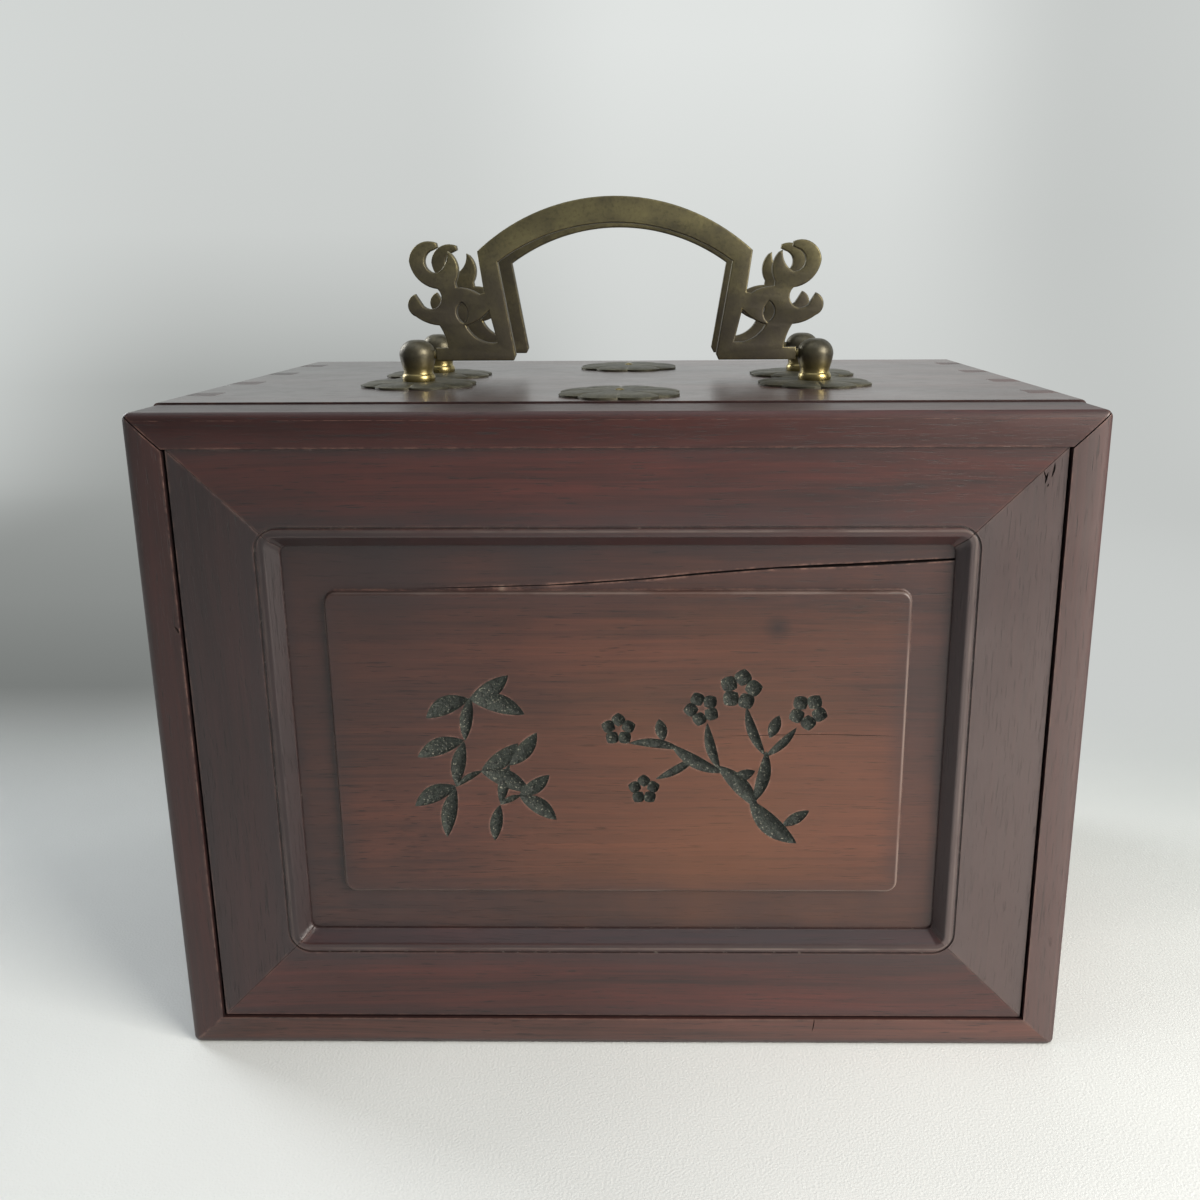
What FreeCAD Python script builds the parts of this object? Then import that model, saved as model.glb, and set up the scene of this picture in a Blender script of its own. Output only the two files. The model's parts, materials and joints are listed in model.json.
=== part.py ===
"""Mahjong case with five drawers behind a lift-out front panel.

Millimetres, +Z up, the front faces -Y. The origin is the middle of the bottom of the case.
"""
import FreeCAD, Part
import math
import os
import re
import Sketcher

V = FreeCAD.Vector
doc = FreeCAD.newDocument("mahjong_case")
os.makedirs("parts", exist_ok=True)

# ---------------------------------------------------------------- driving dimensions
SIZES = {
    # case and carcass boards
    "case_width": 241.2,
    "case_depth": 173.0,
    "case_height": 176.4,
    "side_thick": 9.6,
    "top_thick": 9.0,
    "bottom_thick": 9.0,
    "board_proud": 0.5,
    "board_round": 1.5,
    "rail_gap": 0.8,
    "pin_count": 4.0,
    "pin_pitch": 36.0,
    "pin_narrow": 7.0,
    "pin_wide": 10.0,
    "back_thick": 6.0,
    "back_rebate": 5.0,
    # mitred front frame
    "frame_face": 8.8,
    "stile_face": 9.4,
    "frame_depth": 20.0,
    "frame_round": 2.0,
    "mitre_gap": 0.4,
    "groove_depth": 4.0,
    "groove_wide": 4.0,
    "groove_setback": 5.0,
    # lift-out panel
    "panel_setback": 0.8,
    "panel_thick": 10.0,
    "panel_gap": 0.7,
    "sill_gap": 0.5,
    "tongue_play": 0.5,
    "tongue_clear": 0.25,
    "member_face": 21.2,
    "bead_wide": 2.0,
    "bead_round": 0.9,
    "quirk_wide": 0.5,
    "quirk_deep": 0.5,
    "quirk_out": 1.1,
    "moulding_corner": 4.4,
    "cove_wide": 2.9,
    "field_depth": 4.0,
    "field_lip": 0.6,
    "field_thick": 4.0,
    "field_housing": 3.5,
    "tablet_width": 150.0,
    "tablet_height": 84.4,
    "tablet_raise": 1.8,
    "tablet_corner": 3.0,
    "tablet_round": 0.9,
    # drawers and shelves
    "drawer_count": 5.0,
    "shelf_thick": 4.0,
    "shelf_housing": 3.0,
    "drawer_setback": 26.5,
    "drawer_back_gap": 1.5,
    "drawer_side_play": 0.5,
    "drawer_under_play": 0.1,
    "drawer_over_play": 0.6,
    "drawer_front_thick": 8.0,
    "drawer_wall": 5.0,
    "drawer_lap": 5.0,
    "drawer_base_thick": 3.0,
    "drawer_base_rise": 2.5,
    "drawer_housing": 2.5,
    "pull_reach": 6.0,
    "pull_radius": 4.0,
    "pull_neck": 2.0,
    "pull_shank": 5.0,
    "pull_shank_radius": 1.4,
    # handles
    "handle_shift": -2.0,
    "post_half_span": 58.5,
    "post_half_pitch": 17.5,
    "post_radius": 5.3,
    "post_neck_radius": 4.3,
    "post_ring_radius": 4.9,
    "post_tall": 13.2,
    "pivot_rise": 9.05,
    "shank_radius": 1.75,
    "shank_clear": 0.05,
    "counterbore_radius": 5.2,
    "counterbore_deep": 2.2,
    "washer_radius": 4.8,
    "washer_thick": 0.8,
    "rivet_radius": 2.6,
    "rivet_tall": 1.1,
    "bail_thick": 3.2,
    "bail_rise": 44.05,
    "arch_thick": 7.3,
    "arch_sag": 15.0,
    "arch_inner_sag": 10.7,
    "shoulder_from_post": 18.9,
    "shoulder_inner_from_post": 24.7,
    "leg_foot_from_post": 29.2,
    "foot_thick": 3.7,
    "foot_end_clear": 0.45,
    "pin_radius": 1.3,
    "pin_clear": 0.06,
    "pin_into_post": 3.6,
    "bore_past_pin": 0.4,
    # flower plates
    "plate_radius": 17.0,
    "plate_notch_radius": 15.2,
    "plate_thick": 1.0,
    "plate_lobes": 8.0,
    "plate_margin": 0.8,
    "vein_wide": 0.7,
    "vein_deep": 0.35,
    "vein_inner": 9.0,
    "nail_radius": 1.5,
    "nail_shank_radius": 0.8,
    "nail_head_tall": 0.8,
    "nail_long": 7.0,
}

sheet = doc.addObject("Spreadsheet::Sheet", "Sizes")
for row, (alias, size) in enumerate(SIZES.items(), start=1):
    sheet.set(f"A{row}", alias)
    sheet.set(f"B{row}", str(size))
    sheet.setAlias(f"B{row}", alias)
doc.recompute()

# Places that several pieces share, each worked out from the driving dimensions
PLACES = {
    "half_width": "case_width / 2",
    "half_depth": "case_depth / 2",
    "frame_back": "frame_depth - half_depth",
    "opening_half": "half_width - stile_face",
    "opening_top": "case_height - frame_face",
    "board_top": "case_height + board_proud",
    "board_under": "board_top - top_thick",
    "board_front": "frame_back + rail_gap",
    "inner_half": "half_width - side_thick",
    "back_front": "half_depth - back_thick",
    "groove_front": "groove_setback - half_depth",
    "groove_back": "groove_front + groove_wide",
    "panel_front": "panel_setback - half_depth",
    "panel_back": "panel_front + panel_thick",
    "panel_half": "opening_half - panel_gap",
    "panel_low": "frame_face + sill_gap",
    "panel_mid": "(panel_low + opening_top) / 2",
    "crest_half": "panel_half - member_face",
    "crest_rise": "(opening_top - panel_low) / 2 - member_face",
    "field_front": "panel_front + field_depth",
    "field_back": "field_front + field_thick",
    "drawer_pitch": "(board_under - bottom_thick + shelf_thick) / drawer_count",
    "drawer_tall": "drawer_pitch - shelf_thick - drawer_under_play - drawer_over_play",
    "drawer_front": "drawer_setback - half_depth",
    "drawer_back": "back_front - drawer_back_gap",
    "drawer_half": "inner_half - drawer_side_play",
    "box_front": "drawer_front + drawer_front_thick",
    "strike_reach": "-board_front - plate_radius - plate_margin",
}


def formula(text):
    """The expression with shared places spelled out and every size read from the sheet."""
    while any(name in PLACES for name in re.findall(r"[a-z_]+", text)):
        text = re.sub(r"[a-z_]+", lambda m: f"({PLACES[m[0]]})" if m[0] in PLACES else m[0], text)
    return re.sub(r"[a-z_]+", lambda m: f"Sizes.{m[0]}" if m[0] in SIZES else m[0], text)


# A helper object works the shared places out once, for outlines that need plain numbers
book = doc.addObject("App::FeaturePython", "Places")
for place, text in PLACES.items():
    book.addProperty("App::PropertyFloat", place)
    book.setExpression(place, formula(text))
doc.recompute()


def value(name):
    """A size or shared place as a number."""
    return float(getattr(sheet, name)) if name in SIZES else float(getattr(book, name))


# ---------------------------------------------------------------- building helpers
def block(name, x, y, z):
    """A box between a low and a high expression on each axis."""
    solid = doc.addObject("Part::Box", name)
    for side, axis, (low, high) in (("Length", "x", x), ("Width", "y", y), ("Height", "z", z)):
        solid.setExpression(side, formula(f"({high}) - ({low})"))
        solid.setExpression(f"Placement.Base.{axis}", formula(low))
    return solid


def rod(name, radius, length, x, y, z):
    """An upright cylinder from z upwards."""
    solid = doc.addObject("Part::Cylinder", name)
    solid.setExpression("Radius", formula(radius))
    solid.setExpression("Height", formula(length))
    for axis, text in (("x", x), ("y", y), ("z", z)):
        solid.setExpression(f"Placement.Base.{axis}", formula(text))
    return solid


def fuse(name, pieces):
    joined = doc.addObject("Part::MultiFuse", name)
    joined.Shapes = pieces
    return joined


def cut(name, base, tools):
    """base less every tool."""
    result = doc.addObject("Part::Cut", name)
    result.Base = base
    result.Tool = tools[0] if len(tools) == 1 else fuse(name + "_tools", tools)
    return result


def common(name, first, second):
    result = doc.addObject("Part::Common", name)
    result.Base = first
    result.Tool = second
    return result


def mirrored(name, source, normal, plane_x="0"):
    """The piece on the other side of the plane with this normal, which passes x = plane_x."""
    twin = doc.addObject("Part::Mirroring", name)
    twin.Source = source
    twin.Normal = normal
    twin.setExpression("Base.x", formula(plane_x))
    return twin


def group(name, pieces):
    """Separate solids that share one node."""
    bundle = doc.addObject("Part::Compound", name)
    bundle.Links = pieces
    return bundle


def mitre_wedge(name, outer, inner, turn, x, z):
    """A prism as deep as the case, outer long on one edge and inner long on the other.

    It is laid out with its long edge on local X and its short edge above it on local Z,
    then turned about Y, so the same function cuts rails and stiles.
    """
    solid = doc.addObject("Part::Wedge", name)
    outer_low, outer_high = outer
    inner_low, inner_high, thick = inner
    for prop, text in (("Xmin", outer_low), ("Xmax", outer_high), ("Zmin", "0"),
                       ("Zmax", "case_depth"), ("X2min", inner_low), ("X2max", inner_high),
                       ("Z2min", "0"), ("Z2max", "case_depth"), ("Ymin", "0"), ("Ymax", thick)):
        solid.setExpression(prop, formula(text))
    upright = FreeCAD.Rotation(V(1, 0, 0), 90)
    solid.Placement.Rotation = FreeCAD.Rotation(V(0, 1, 0), turn).multiply(upright)
    solid.setExpression("Placement.Base.x", formula(x))
    solid.setExpression("Placement.Base.y", formula("half_depth"))
    solid.setExpression("Placement.Base.z", formula(z))
    return solid


def new_body(name):
    return doc.addObject("PartDesign::Body", name)


def origin_plane(body, role):
    return next(p for p in body.Origin.OriginFeatures if p.Role == role)


def new_sketch(body, name, role, offset="0"):
    """A sketch on an origin plane of the body, shifted along the plane's normal."""
    sketch = body.newObject("Sketcher::SketchObject", name)
    sketch.AttachmentSupport = [(origin_plane(body, role), "")]
    sketch.MapMode = "FlatFace"
    sketch.setExpression("AttachmentOffset.Base.z", formula(offset))
    return sketch


def rectangle(sketch, width, low, high):
    """A rectangle centred on the sketch's vertical axis, between two heights."""
    span, base, tall = value_of(width), value_of(low), value_of(f"({high}) - ({low})")
    corners = [V(-span / 2, base), V(span / 2, base), V(span / 2, base + tall), V(-span / 2, base + tall)]
    first = sketch.GeometryCount
    for start, end in zip(corners, corners[1:] + corners[:1]):
        sketch.addGeometry(Part.LineSegment(start, end))
    bottom, right, top, left = range(first, first + 4)
    for here, after in ((bottom, right), (right, top), (top, left), (left, bottom)):
        sketch.addConstraint(Sketcher.Constraint("Coincident", here, 2, after, 1))
    sketch.addConstraint(Sketcher.Constraint("Horizontal", top))
    for line in (left, right):
        sketch.addConstraint(Sketcher.Constraint("Vertical", line))
    sketch.addConstraint(Sketcher.Constraint("Symmetric", bottom, 1, bottom, 2, -2))
    for kind, ends, size, text in (
            ("DistanceX", (bottom, 1, bottom, 2), span, width),
            ("DistanceY", (-1, 1, bottom, 1), base, low),
            ("DistanceY", (right, 1, right, 2), tall, f"({high}) - ({low})")):
        index = sketch.addConstraint(Sketcher.Constraint(kind, *ends, size))
        sketch.setExpression(f"Constraints[{index}]", formula(text))
    return sketch


def value_of(text):
    """An expression over sizes and places as a number, worked out by the document."""
    if not hasattr(book, "scratch"):
        book.addProperty("App::PropertyFloat", "scratch")
    book.setExpression("scratch", formula(text))
    book.recompute()
    return float(book.scratch)


def pad(body, sketch, length, name, both_ways=False):
    feature = body.newObject("PartDesign::Pad", name)
    feature.Profile = sketch
    feature.Midplane = both_ways
    feature.setExpression("Length", formula(length))
    doc.recompute()
    return feature


def pocket(body, sketch, length, name, taper="0", through=False, reverse=False):
    """A pocket, checked to have taken something away."""
    before = body.Shape.Volume
    feature = body.newObject("PartDesign::Pocket", name)
    feature.Profile = sketch
    feature.Reversed = reverse
    if through:
        feature.Type = "ThroughAll"
        feature.Midplane = True
    else:
        feature.setExpression("Length", formula(length))
    feature.setExpression("TaperAngle", formula(taper))
    doc.recompute()
    if body.Shape.Volume >= before - 1e-6:
        raise RuntimeError(f"{name} cuts nothing")
    return feature


def edges_where(shape, test):
    """The names of the edges whose middle point and direction pass the test."""
    names = []
    for index, edge in enumerate(shape.Edges, start=1):
        middle = edge.valueAt((edge.FirstParameter + edge.LastParameter) / 2)
        way = (edge.valueAt(edge.LastParameter) - edge.valueAt(edge.FirstParameter))
        if test(middle, way):
            names.append(f"Edge{index}")
    return names


def round_over(body, base, radius, test, name):
    feature = body.newObject("PartDesign::Fillet", name)
    feature.Base = (base, edges_where(base.Shape, test))
    feature.setExpression("Radius", formula(radius))
    doc.recompute()
    return feature


def near(a, b, slack=0.02):
    return abs(a - b) < slack


# ---------------------------------------------------------------- dovetailed carcass
def dovetail_pins(side, level, low):
    """The row of pins at one end of a side board: narrow outside, wide at the baseline."""
    pins = []
    middle = "(board_front + half_depth) / 2"
    for number in range(int(value("pin_count"))):
        pin = doc.addObject("Part::Wedge", f"{side}_{level}_pin_{number + 1}")
        for prop, text in (("Xmin", "-pin_wide / 2"), ("Xmax", "pin_wide / 2"), ("Ymin", "0"),
                           ("Ymax", "side_thick"), ("X2min", "-pin_narrow / 2"),
                           ("X2max", "pin_narrow / 2"), ("Zmin", "0"), ("Z2min", "0"),
                           ("Zmax", f"{level}_thick"), ("Z2max", f"{level}_thick")):
            pin.setExpression(prop, formula(text))
        toward = 1 if side == "left" else -1
        pin.Placement.Rotation = FreeCAD.Rotation(V(0, 0, 1), 90 * toward)
        pin.setExpression("Placement.Base.x", formula(f"{-toward} * inner_half"))
        shift = f"({number} - (pin_count - 1) / 2) * pin_pitch"
        pin.setExpression("Placement.Base.y", formula(f"{middle} + {shift}"))
        pin.setExpression("Placement.Base.z", formula(low))
        pins.append(pin)
    return pins


def rounded_envelope():
    """The outside of the carcass, with the long edges eased."""
    blank = block("carcass_blank", ("-half_width", "half_width"), ("frame_back", "half_depth"),
                  ("0", "board_top"))
    doc.recompute()
    long_edges = [int(name[4:]) for name in edges_where(blank.Shape, lambda m, w: abs(w.y) > 1)]
    eased = doc.addObject("Part::Fillet", "carcass_envelope")
    eased.Base = blank
    eased.Edges = [(number, value("board_round"), value("board_round")) for number in long_edges]
    return eased


def back_recess():
    return block("back_recess", ("-inner_half - back_rebate", "inner_half + back_rebate"),
                 ("back_front", "half_depth + 1"),
                 ("bottom_thick - back_rebate", "board_under + back_rebate"))


def make_shelves():
    shelves = []
    for number in range(1, int(value("drawer_count"))):
        low = f"bottom_thick + {number} * drawer_pitch - shelf_thick"
        shelves.append(block(f"shelf_{number}",
                             ("-inner_half - shelf_housing", "inner_half + shelf_housing"),
                             ("drawer_front", "back_front"), (low, f"{low} + shelf_thick")))
    return shelves


def make_carcass():
    envelope = rounded_envelope()
    recess = back_recess()
    shelves = make_shelves()
    sides, pins = {}, {}
    for side, (low, high) in (("left", ("-half_width", "-inner_half")),
                              ("right", ("inner_half", "half_width"))):
        upright = block(f"{side}_upright", (low, high), ("frame_back", "half_depth"),
                        ("bottom_thick", "board_under"))
        pins[side, "top"] = dovetail_pins(side, "top", "board_under")
        pins[side, "bottom"] = dovetail_pins(side, "bottom", "0")
        joined = fuse(f"{side}_joined", [upright] + pins[side, "top"] + pins[side, "bottom"])
        housed = cut(f"{side}_housed", joined, [recess] + shelves)
        sides[side] = common(f"{side}_side", housed, envelope)
    top = block("top_plank", ("-half_width", "half_width"), ("board_front", "half_depth"),
                ("board_under", "board_top"))
    top_cut = cut("top_cut", top, pins["left", "top"] + pins["right", "top"] + [recess]
                  + shank_holes() + nail_holes())
    bottom = block("bottom_plank", ("-half_width", "half_width"), ("frame_back", "half_depth"),
                   ("0", "bottom_thick"))
    bottom_cut = cut("bottom_cut", bottom, pins["left", "bottom"] + pins["right", "bottom"] + [recess])
    back = block("back_panel", ("-inner_half - back_rebate", "inner_half + back_rebate"),
                 ("back_front", "half_depth"),
                 ("bottom_thick - back_rebate", "board_under + back_rebate"))
    return [common("top_board", top_cut, envelope), common("bottom_board", bottom_cut, envelope),
            sides["left"], sides["right"], back] + shelves


def shank_holes():
    """A hole and a counterbore under the top board for each handle post."""
    holes = []
    for name, across, along in post_places():
        holes.append(rod(f"shank_hole_{name}", "shank_radius + shank_clear", "top_thick + 2",
                         across, along, "board_under - 1"))
        holes.append(rod(f"counterbore_{name}", "counterbore_radius", "counterbore_deep + 1",
                         across, along, "board_under - 1"))
    return holes


def nail_holes():
    return [rod(f"nail_hole_{name}", "nail_shank_radius", "nail_long", "0", f"{sign} * strike_reach",
                "board_top - nail_long + plate_thick")
            for name, sign in (("front", -1), ("back", 1))]


def post_places():
    return [(f"{along}_{across}", f"handle_shift + {x} * post_half_span", f"{y} * post_half_pitch")
            for along, y in (("front", -1), ("back", 1)) for across, x in (("left", -1), ("right", 1))]


# ---------------------------------------------------------------- mitred front frame
def frame_ring():
    """All four frame members as one grooved and rounded ring, before the mitres are cut."""
    body = new_body("frame_ring")
    outline = rectangle(new_sketch(body, "frame_outline", "XZ_Plane", "-frame_back"),
                        "case_width", "0", "case_height")
    ring = pad(body, outline, "frame_depth", "frame_pad")
    opening = rectangle(new_sketch(body, "frame_opening", "XZ_Plane"),
                        "2 * opening_half", "frame_face", "opening_top")
    pocket(body, opening, "0", "frame_window", through=True)
    channel = rectangle(new_sketch(body, "channel_outline", "XZ_Plane", "-groove_front"),
                        "2 * (opening_half + groove_depth)", "frame_face - groove_depth",
                        "opening_top + groove_depth")
    groove = pocket(body, channel, "groove_wide", "frame_groove")
    half, tall, front = value("half_width"), value("case_height"), -value("half_depth")
    corners = round_over(body, groove, "frame_round",
                         lambda m, w: abs(w.y) > 1 and near(abs(m.x), half), "frame_corners")
    at_edge = lambda m: near(abs(m.x), half, 1.0) or near(m.z, 0, 1.0) or near(m.z, tall, 1.0)
    round_over(body, corners, "frame_round",
               lambda m, w: near(m.y, front) and at_edge(m), "frame_front_edge")
    return body


def make_front_frame(ring):
    """Stiles and bottom rail are fixed; the top rail belongs to the lift-out panel."""
    stile = mitre_wedge("stile_mitre", ("0", "case_height - mitre_gap"),
                        ("frame_face", "opening_top - mitre_gap", "stile_face"), -90,
                        "half_width", "0")
    right = common("stile_right", ring, stile)
    left = mirrored("stile_left", right, (1, 0, 0))
    low = mitre_wedge("bottom_mitre", ("-half_width", "half_width"),
                      ("-opening_half", "opening_half", "frame_face"), 0, "0", "0")
    high = mitre_wedge("top_mitre", ("-half_width", "half_width"),
                       ("-opening_half", "opening_half", "frame_face"), 180, "0", "case_height")
    return [left, right, common("bottom_rail", ring, low), common("top_rail", ring, high)]


# ---------------------------------------------------------------- lift-out panel
def panel_ring():
    """The panel's frame as one moulded ring, with a tongue all round, before its mitres."""
    body = new_body("panel_ring")
    face = rectangle(new_sketch(body, "panel_outline", "XZ_Plane", "-panel_back"),
                     "2 * panel_half", "panel_low", "opening_top")
    pad(body, face, "panel_thick", "panel_pad")
    tongue = rectangle(new_sketch(body, "tongue_outline", "XZ_Plane", "-groove_back + tongue_clear"),
                       "2 * (opening_half + groove_depth - tongue_play)",
                       "frame_face - groove_depth + tongue_play",
                       "opening_top + groove_depth - tongue_play")
    pad(body, tongue, "groove_wide - 2 * tongue_clear", "panel_tongue")
    quirk = new_sketch(body, "quirk_outline", "XZ_Plane", "-panel_front")
    for reach in ("quirk_out", "(quirk_out + quirk_wide)"):
        rectangle(quirk, f"2 * (crest_half + {reach})", f"panel_mid - crest_rise - {reach}",
                  f"panel_mid + crest_rise + {reach}")
    line = pocket(body, quirk, "quirk_deep", "panel_quirk")
    line_out = value("crest_half") + value("quirk_out")
    wide = value("quirk_wide")
    outer = round_over(body, line, "moulding_corner + quirk_out + quirk_wide",
                       lambda m, w: abs(w.y) > 0.1 and near(abs(m.x), line_out + wide), "quirk_outer")
    round_over(body, outer, "moulding_corner + quirk_out",
               lambda m, w: abs(w.y) > 0.1 and near(abs(m.x), line_out), "quirk_inner")
    lip = rectangle(new_sketch(body, "lip_outline", "XZ_Plane", "-panel_front"),
                    "2 * (crest_half - bead_wide / 2)", "panel_mid - crest_rise + bead_wide / 2",
                    "panel_mid + crest_rise - bead_wide / 2")
    cove = pocket(body, lip, "field_depth - field_lip", "panel_cove",
                  taper="-atan(cove_wide / (field_depth - field_lip))")
    sloping = lambda m, w: abs(w.x) > 0.5 and abs(w.y) > 0.5 and abs(w.z) > 0.5
    round_over(body, cove, "moulding_corner - bead_wide / 2", sloping, "cove_corners")
    inner = "(bead_wide / 2 + cove_wide)"
    window = rectangle(new_sketch(body, "window_outline", "XZ_Plane"),
                       f"2 * (crest_half - {inner})", f"panel_mid - crest_rise + {inner}",
                       f"panel_mid + crest_rise - {inner}")
    opened = pocket(body, window, "0", "panel_window", through=True)
    window_half = value_of(f"crest_half - {inner}")
    round_over(body, opened, "moulding_corner - bead_wide / 2 - cove_wide / 2",
               lambda m, w: abs(w.y) > 1 and near(abs(m.x), window_half), "window_corners")
    housing = rectangle(new_sketch(body, "housing_outline", "XZ_Plane", "-field_front"),
                        f"2 * (crest_half - {inner} + field_housing)",
                        f"panel_mid - crest_rise + {inner} - field_housing",
                        f"panel_mid + crest_rise - {inner} + field_housing")
    housed = pocket(body, housing, "field_thick", "field_groove")
    front, lip_half = value("panel_front"), value("crest_half") - value("bead_wide") / 2
    lip_rise, middle = value("crest_rise") - value("bead_wide") / 2, value("panel_mid")
    inside_lip = lambda m: abs(m.x) < lip_half + 0.3 and abs(m.z - middle) < lip_rise + 0.3
    round_over(body, housed, "bead_round", lambda m, w: near(m.y, front) and inside_lip(m), "panel_bead")
    return body


def make_panel(ring, top_rail):
    """Mitred stiles and rails round a raised field."""
    inner = "(member_face + 6)"
    stile = mitre_wedge("panel_stile_mitre",
                        ("panel_low - groove_depth", "opening_top + groove_depth"),
                        (f"panel_low + {inner}", f"opening_top - {inner}",
                         f"groove_depth + {inner}"), -90, "panel_half + groove_depth", "0")
    right = common("panel_stile_right", ring, stile)
    left = mirrored("panel_stile_left", right, (1, 0, 0))
    across = (("-panel_half - groove_depth", "panel_half + groove_depth"),
              (f"-panel_half + {inner}", f"panel_half - {inner}", f"groove_depth + {inner}"))
    low = mitre_wedge("panel_low_mitre", *across, 0, "0", "panel_low - groove_depth")
    high = mitre_wedge("panel_high_mitre", *across, 180, "0", "opening_top + groove_depth")
    return [top_rail, left, right, common("panel_rail_bottom", ring, low),
            common("panel_rail_top", ring, high), make_field()]


def make_field():
    """The loose board in the panel's groove, with a raised tablet left bare for carving."""
    body = new_body("panel_field")
    reach = "crest_half - bead_wide / 2 - cove_wide + field_housing - 0.5"
    rise = "crest_rise - bead_wide / 2 - cove_wide + field_housing - 0.5"
    board = rectangle(new_sketch(body, "field_outline", "XZ_Plane", "-field_back"),
                      f"2 * ({reach})", f"panel_mid - ({rise})", f"panel_mid + {rise}")
    pad(body, board, "field_thick", "field_pad")
    tablet = rectangle(new_sketch(body, "tablet_outline", "XZ_Plane", "-field_front"),
                       "tablet_width", "panel_mid - tablet_height / 2",
                       "panel_mid + tablet_height / 2")
    raised = pad(body, tablet, "tablet_raise", "tablet_pad")
    half, face = value("tablet_width") / 2, value("field_front") - value("tablet_raise")
    corners = round_over(body, raised, "tablet_corner",
                         lambda m, w: abs(w.y) > 1 and near(abs(m.x), half), "tablet_corners")
    round_over(body, corners, "tablet_round", lambda m, w: near(m.y, face), "tablet_edge")
    return body


# ---------------------------------------------------------------- drawers
def make_pull(number, low):
    """A turned brass knob with a shank into the drawer front."""
    body = new_body(f"drawer_{number}_pull")
    sketch = new_sketch(body, f"pull_profile_{number}", "XY_Plane")
    reach, neck, head = value("pull_reach"), value("pull_neck"), value("pull_radius")
    shank, thin = value("pull_shank"), value("pull_shank_radius")
    points = [V(0, shank), V(thin, shank), V(thin, 0), V(neck * 1.5, 0), V(neck, -reach * 0.2)]
    for start, end in zip(points, points[1:]):
        sketch.addGeometry(Part.LineSegment(start, end))
    swell = V(head, -reach * 0.62)
    sketch.addGeometry(Part.Arc(points[-1], V(neck * 1.45, -reach * 0.36), swell))
    flat = V(head * 0.15, -reach)
    sketch.addGeometry(Part.Arc(swell, V(head * 0.76, -reach * 0.88), flat))
    sketch.addGeometry(Part.LineSegment(flat, V(0, -reach)))
    sketch.addGeometry(Part.LineSegment(V(0, -reach), points[0]))
    turned = body.newObject("PartDesign::Revolution", f"pull_turning_{number}")
    turned.Profile = sketch
    turned.ReferenceAxis = (sketch, ["V_Axis"])
    turned.Angle = 360
    body.setExpression("Placement.Base.y", formula("drawer_front"))
    body.setExpression("Placement.Base.z", formula(f"{low} + drawer_tall / 2"))
    return body


def make_drawer(number):
    name = f"drawer_{number}"
    low = f"(bottom_thick + {number - 1} * drawer_pitch + drawer_under_play)"
    tall = (low, f"{low} + drawer_tall")
    base_low = f"{low} + drawer_base_rise"
    inner = "drawer_half - drawer_wall"
    base = block(f"{name}_base", (f"-({inner}) - drawer_housing", f"{inner} + drawer_housing"),
                 ("box_front - drawer_housing", "drawer_back - drawer_wall + drawer_housing"),
                 (base_low, f"{base_low} + drawer_base_thick"))
    lapped_front = "box_front - drawer_lap"
    sides = [(block(f"{name}_left_wall", ("-drawer_half", f"-({inner})"), (lapped_front, "drawer_back"),
                    tall), f"{name}_left"),
             (block(f"{name}_right_wall", (inner, "drawer_half"), (lapped_front, "drawer_back"),
                    tall), f"{name}_right")]
    face = block(f"{name}_face", ("-drawer_half", "drawer_half"), ("drawer_front", "box_front"), tall)
    shank = doc.addObject("Part::Cylinder", f"{name}_shank_hole")
    shank.setExpression("Radius", formula("pull_shank_radius"))
    shank.setExpression("Height", formula("pull_shank"))
    shank.Placement.Rotation = FreeCAD.Rotation(V(1, 0, 0), -90)
    shank.setExpression("Placement.Base.y", formula("drawer_front"))
    shank.setExpression("Placement.Base.z", formula(f"{low} + drawer_tall / 2"))
    rear = block(f"{name}_rear", (f"-({inner})", inner), ("drawer_back - drawer_wall", "drawer_back"),
                 tall)
    return [cut(f"{name}_front", face, [side for side, _ in sides] + [base, shank]),
            *[cut(label, side, [base]) for side, label in sides],
            cut(f"{name}_back", rear, [base]), base, make_pull(number, low)]


# ---------------------------------------------------------------- handles
def turned_profile(sketch, outline):
    """Close an outline of lines and arcs on the axis."""
    for piece in outline:
        sketch.addGeometry(piece)
    return sketch


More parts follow.
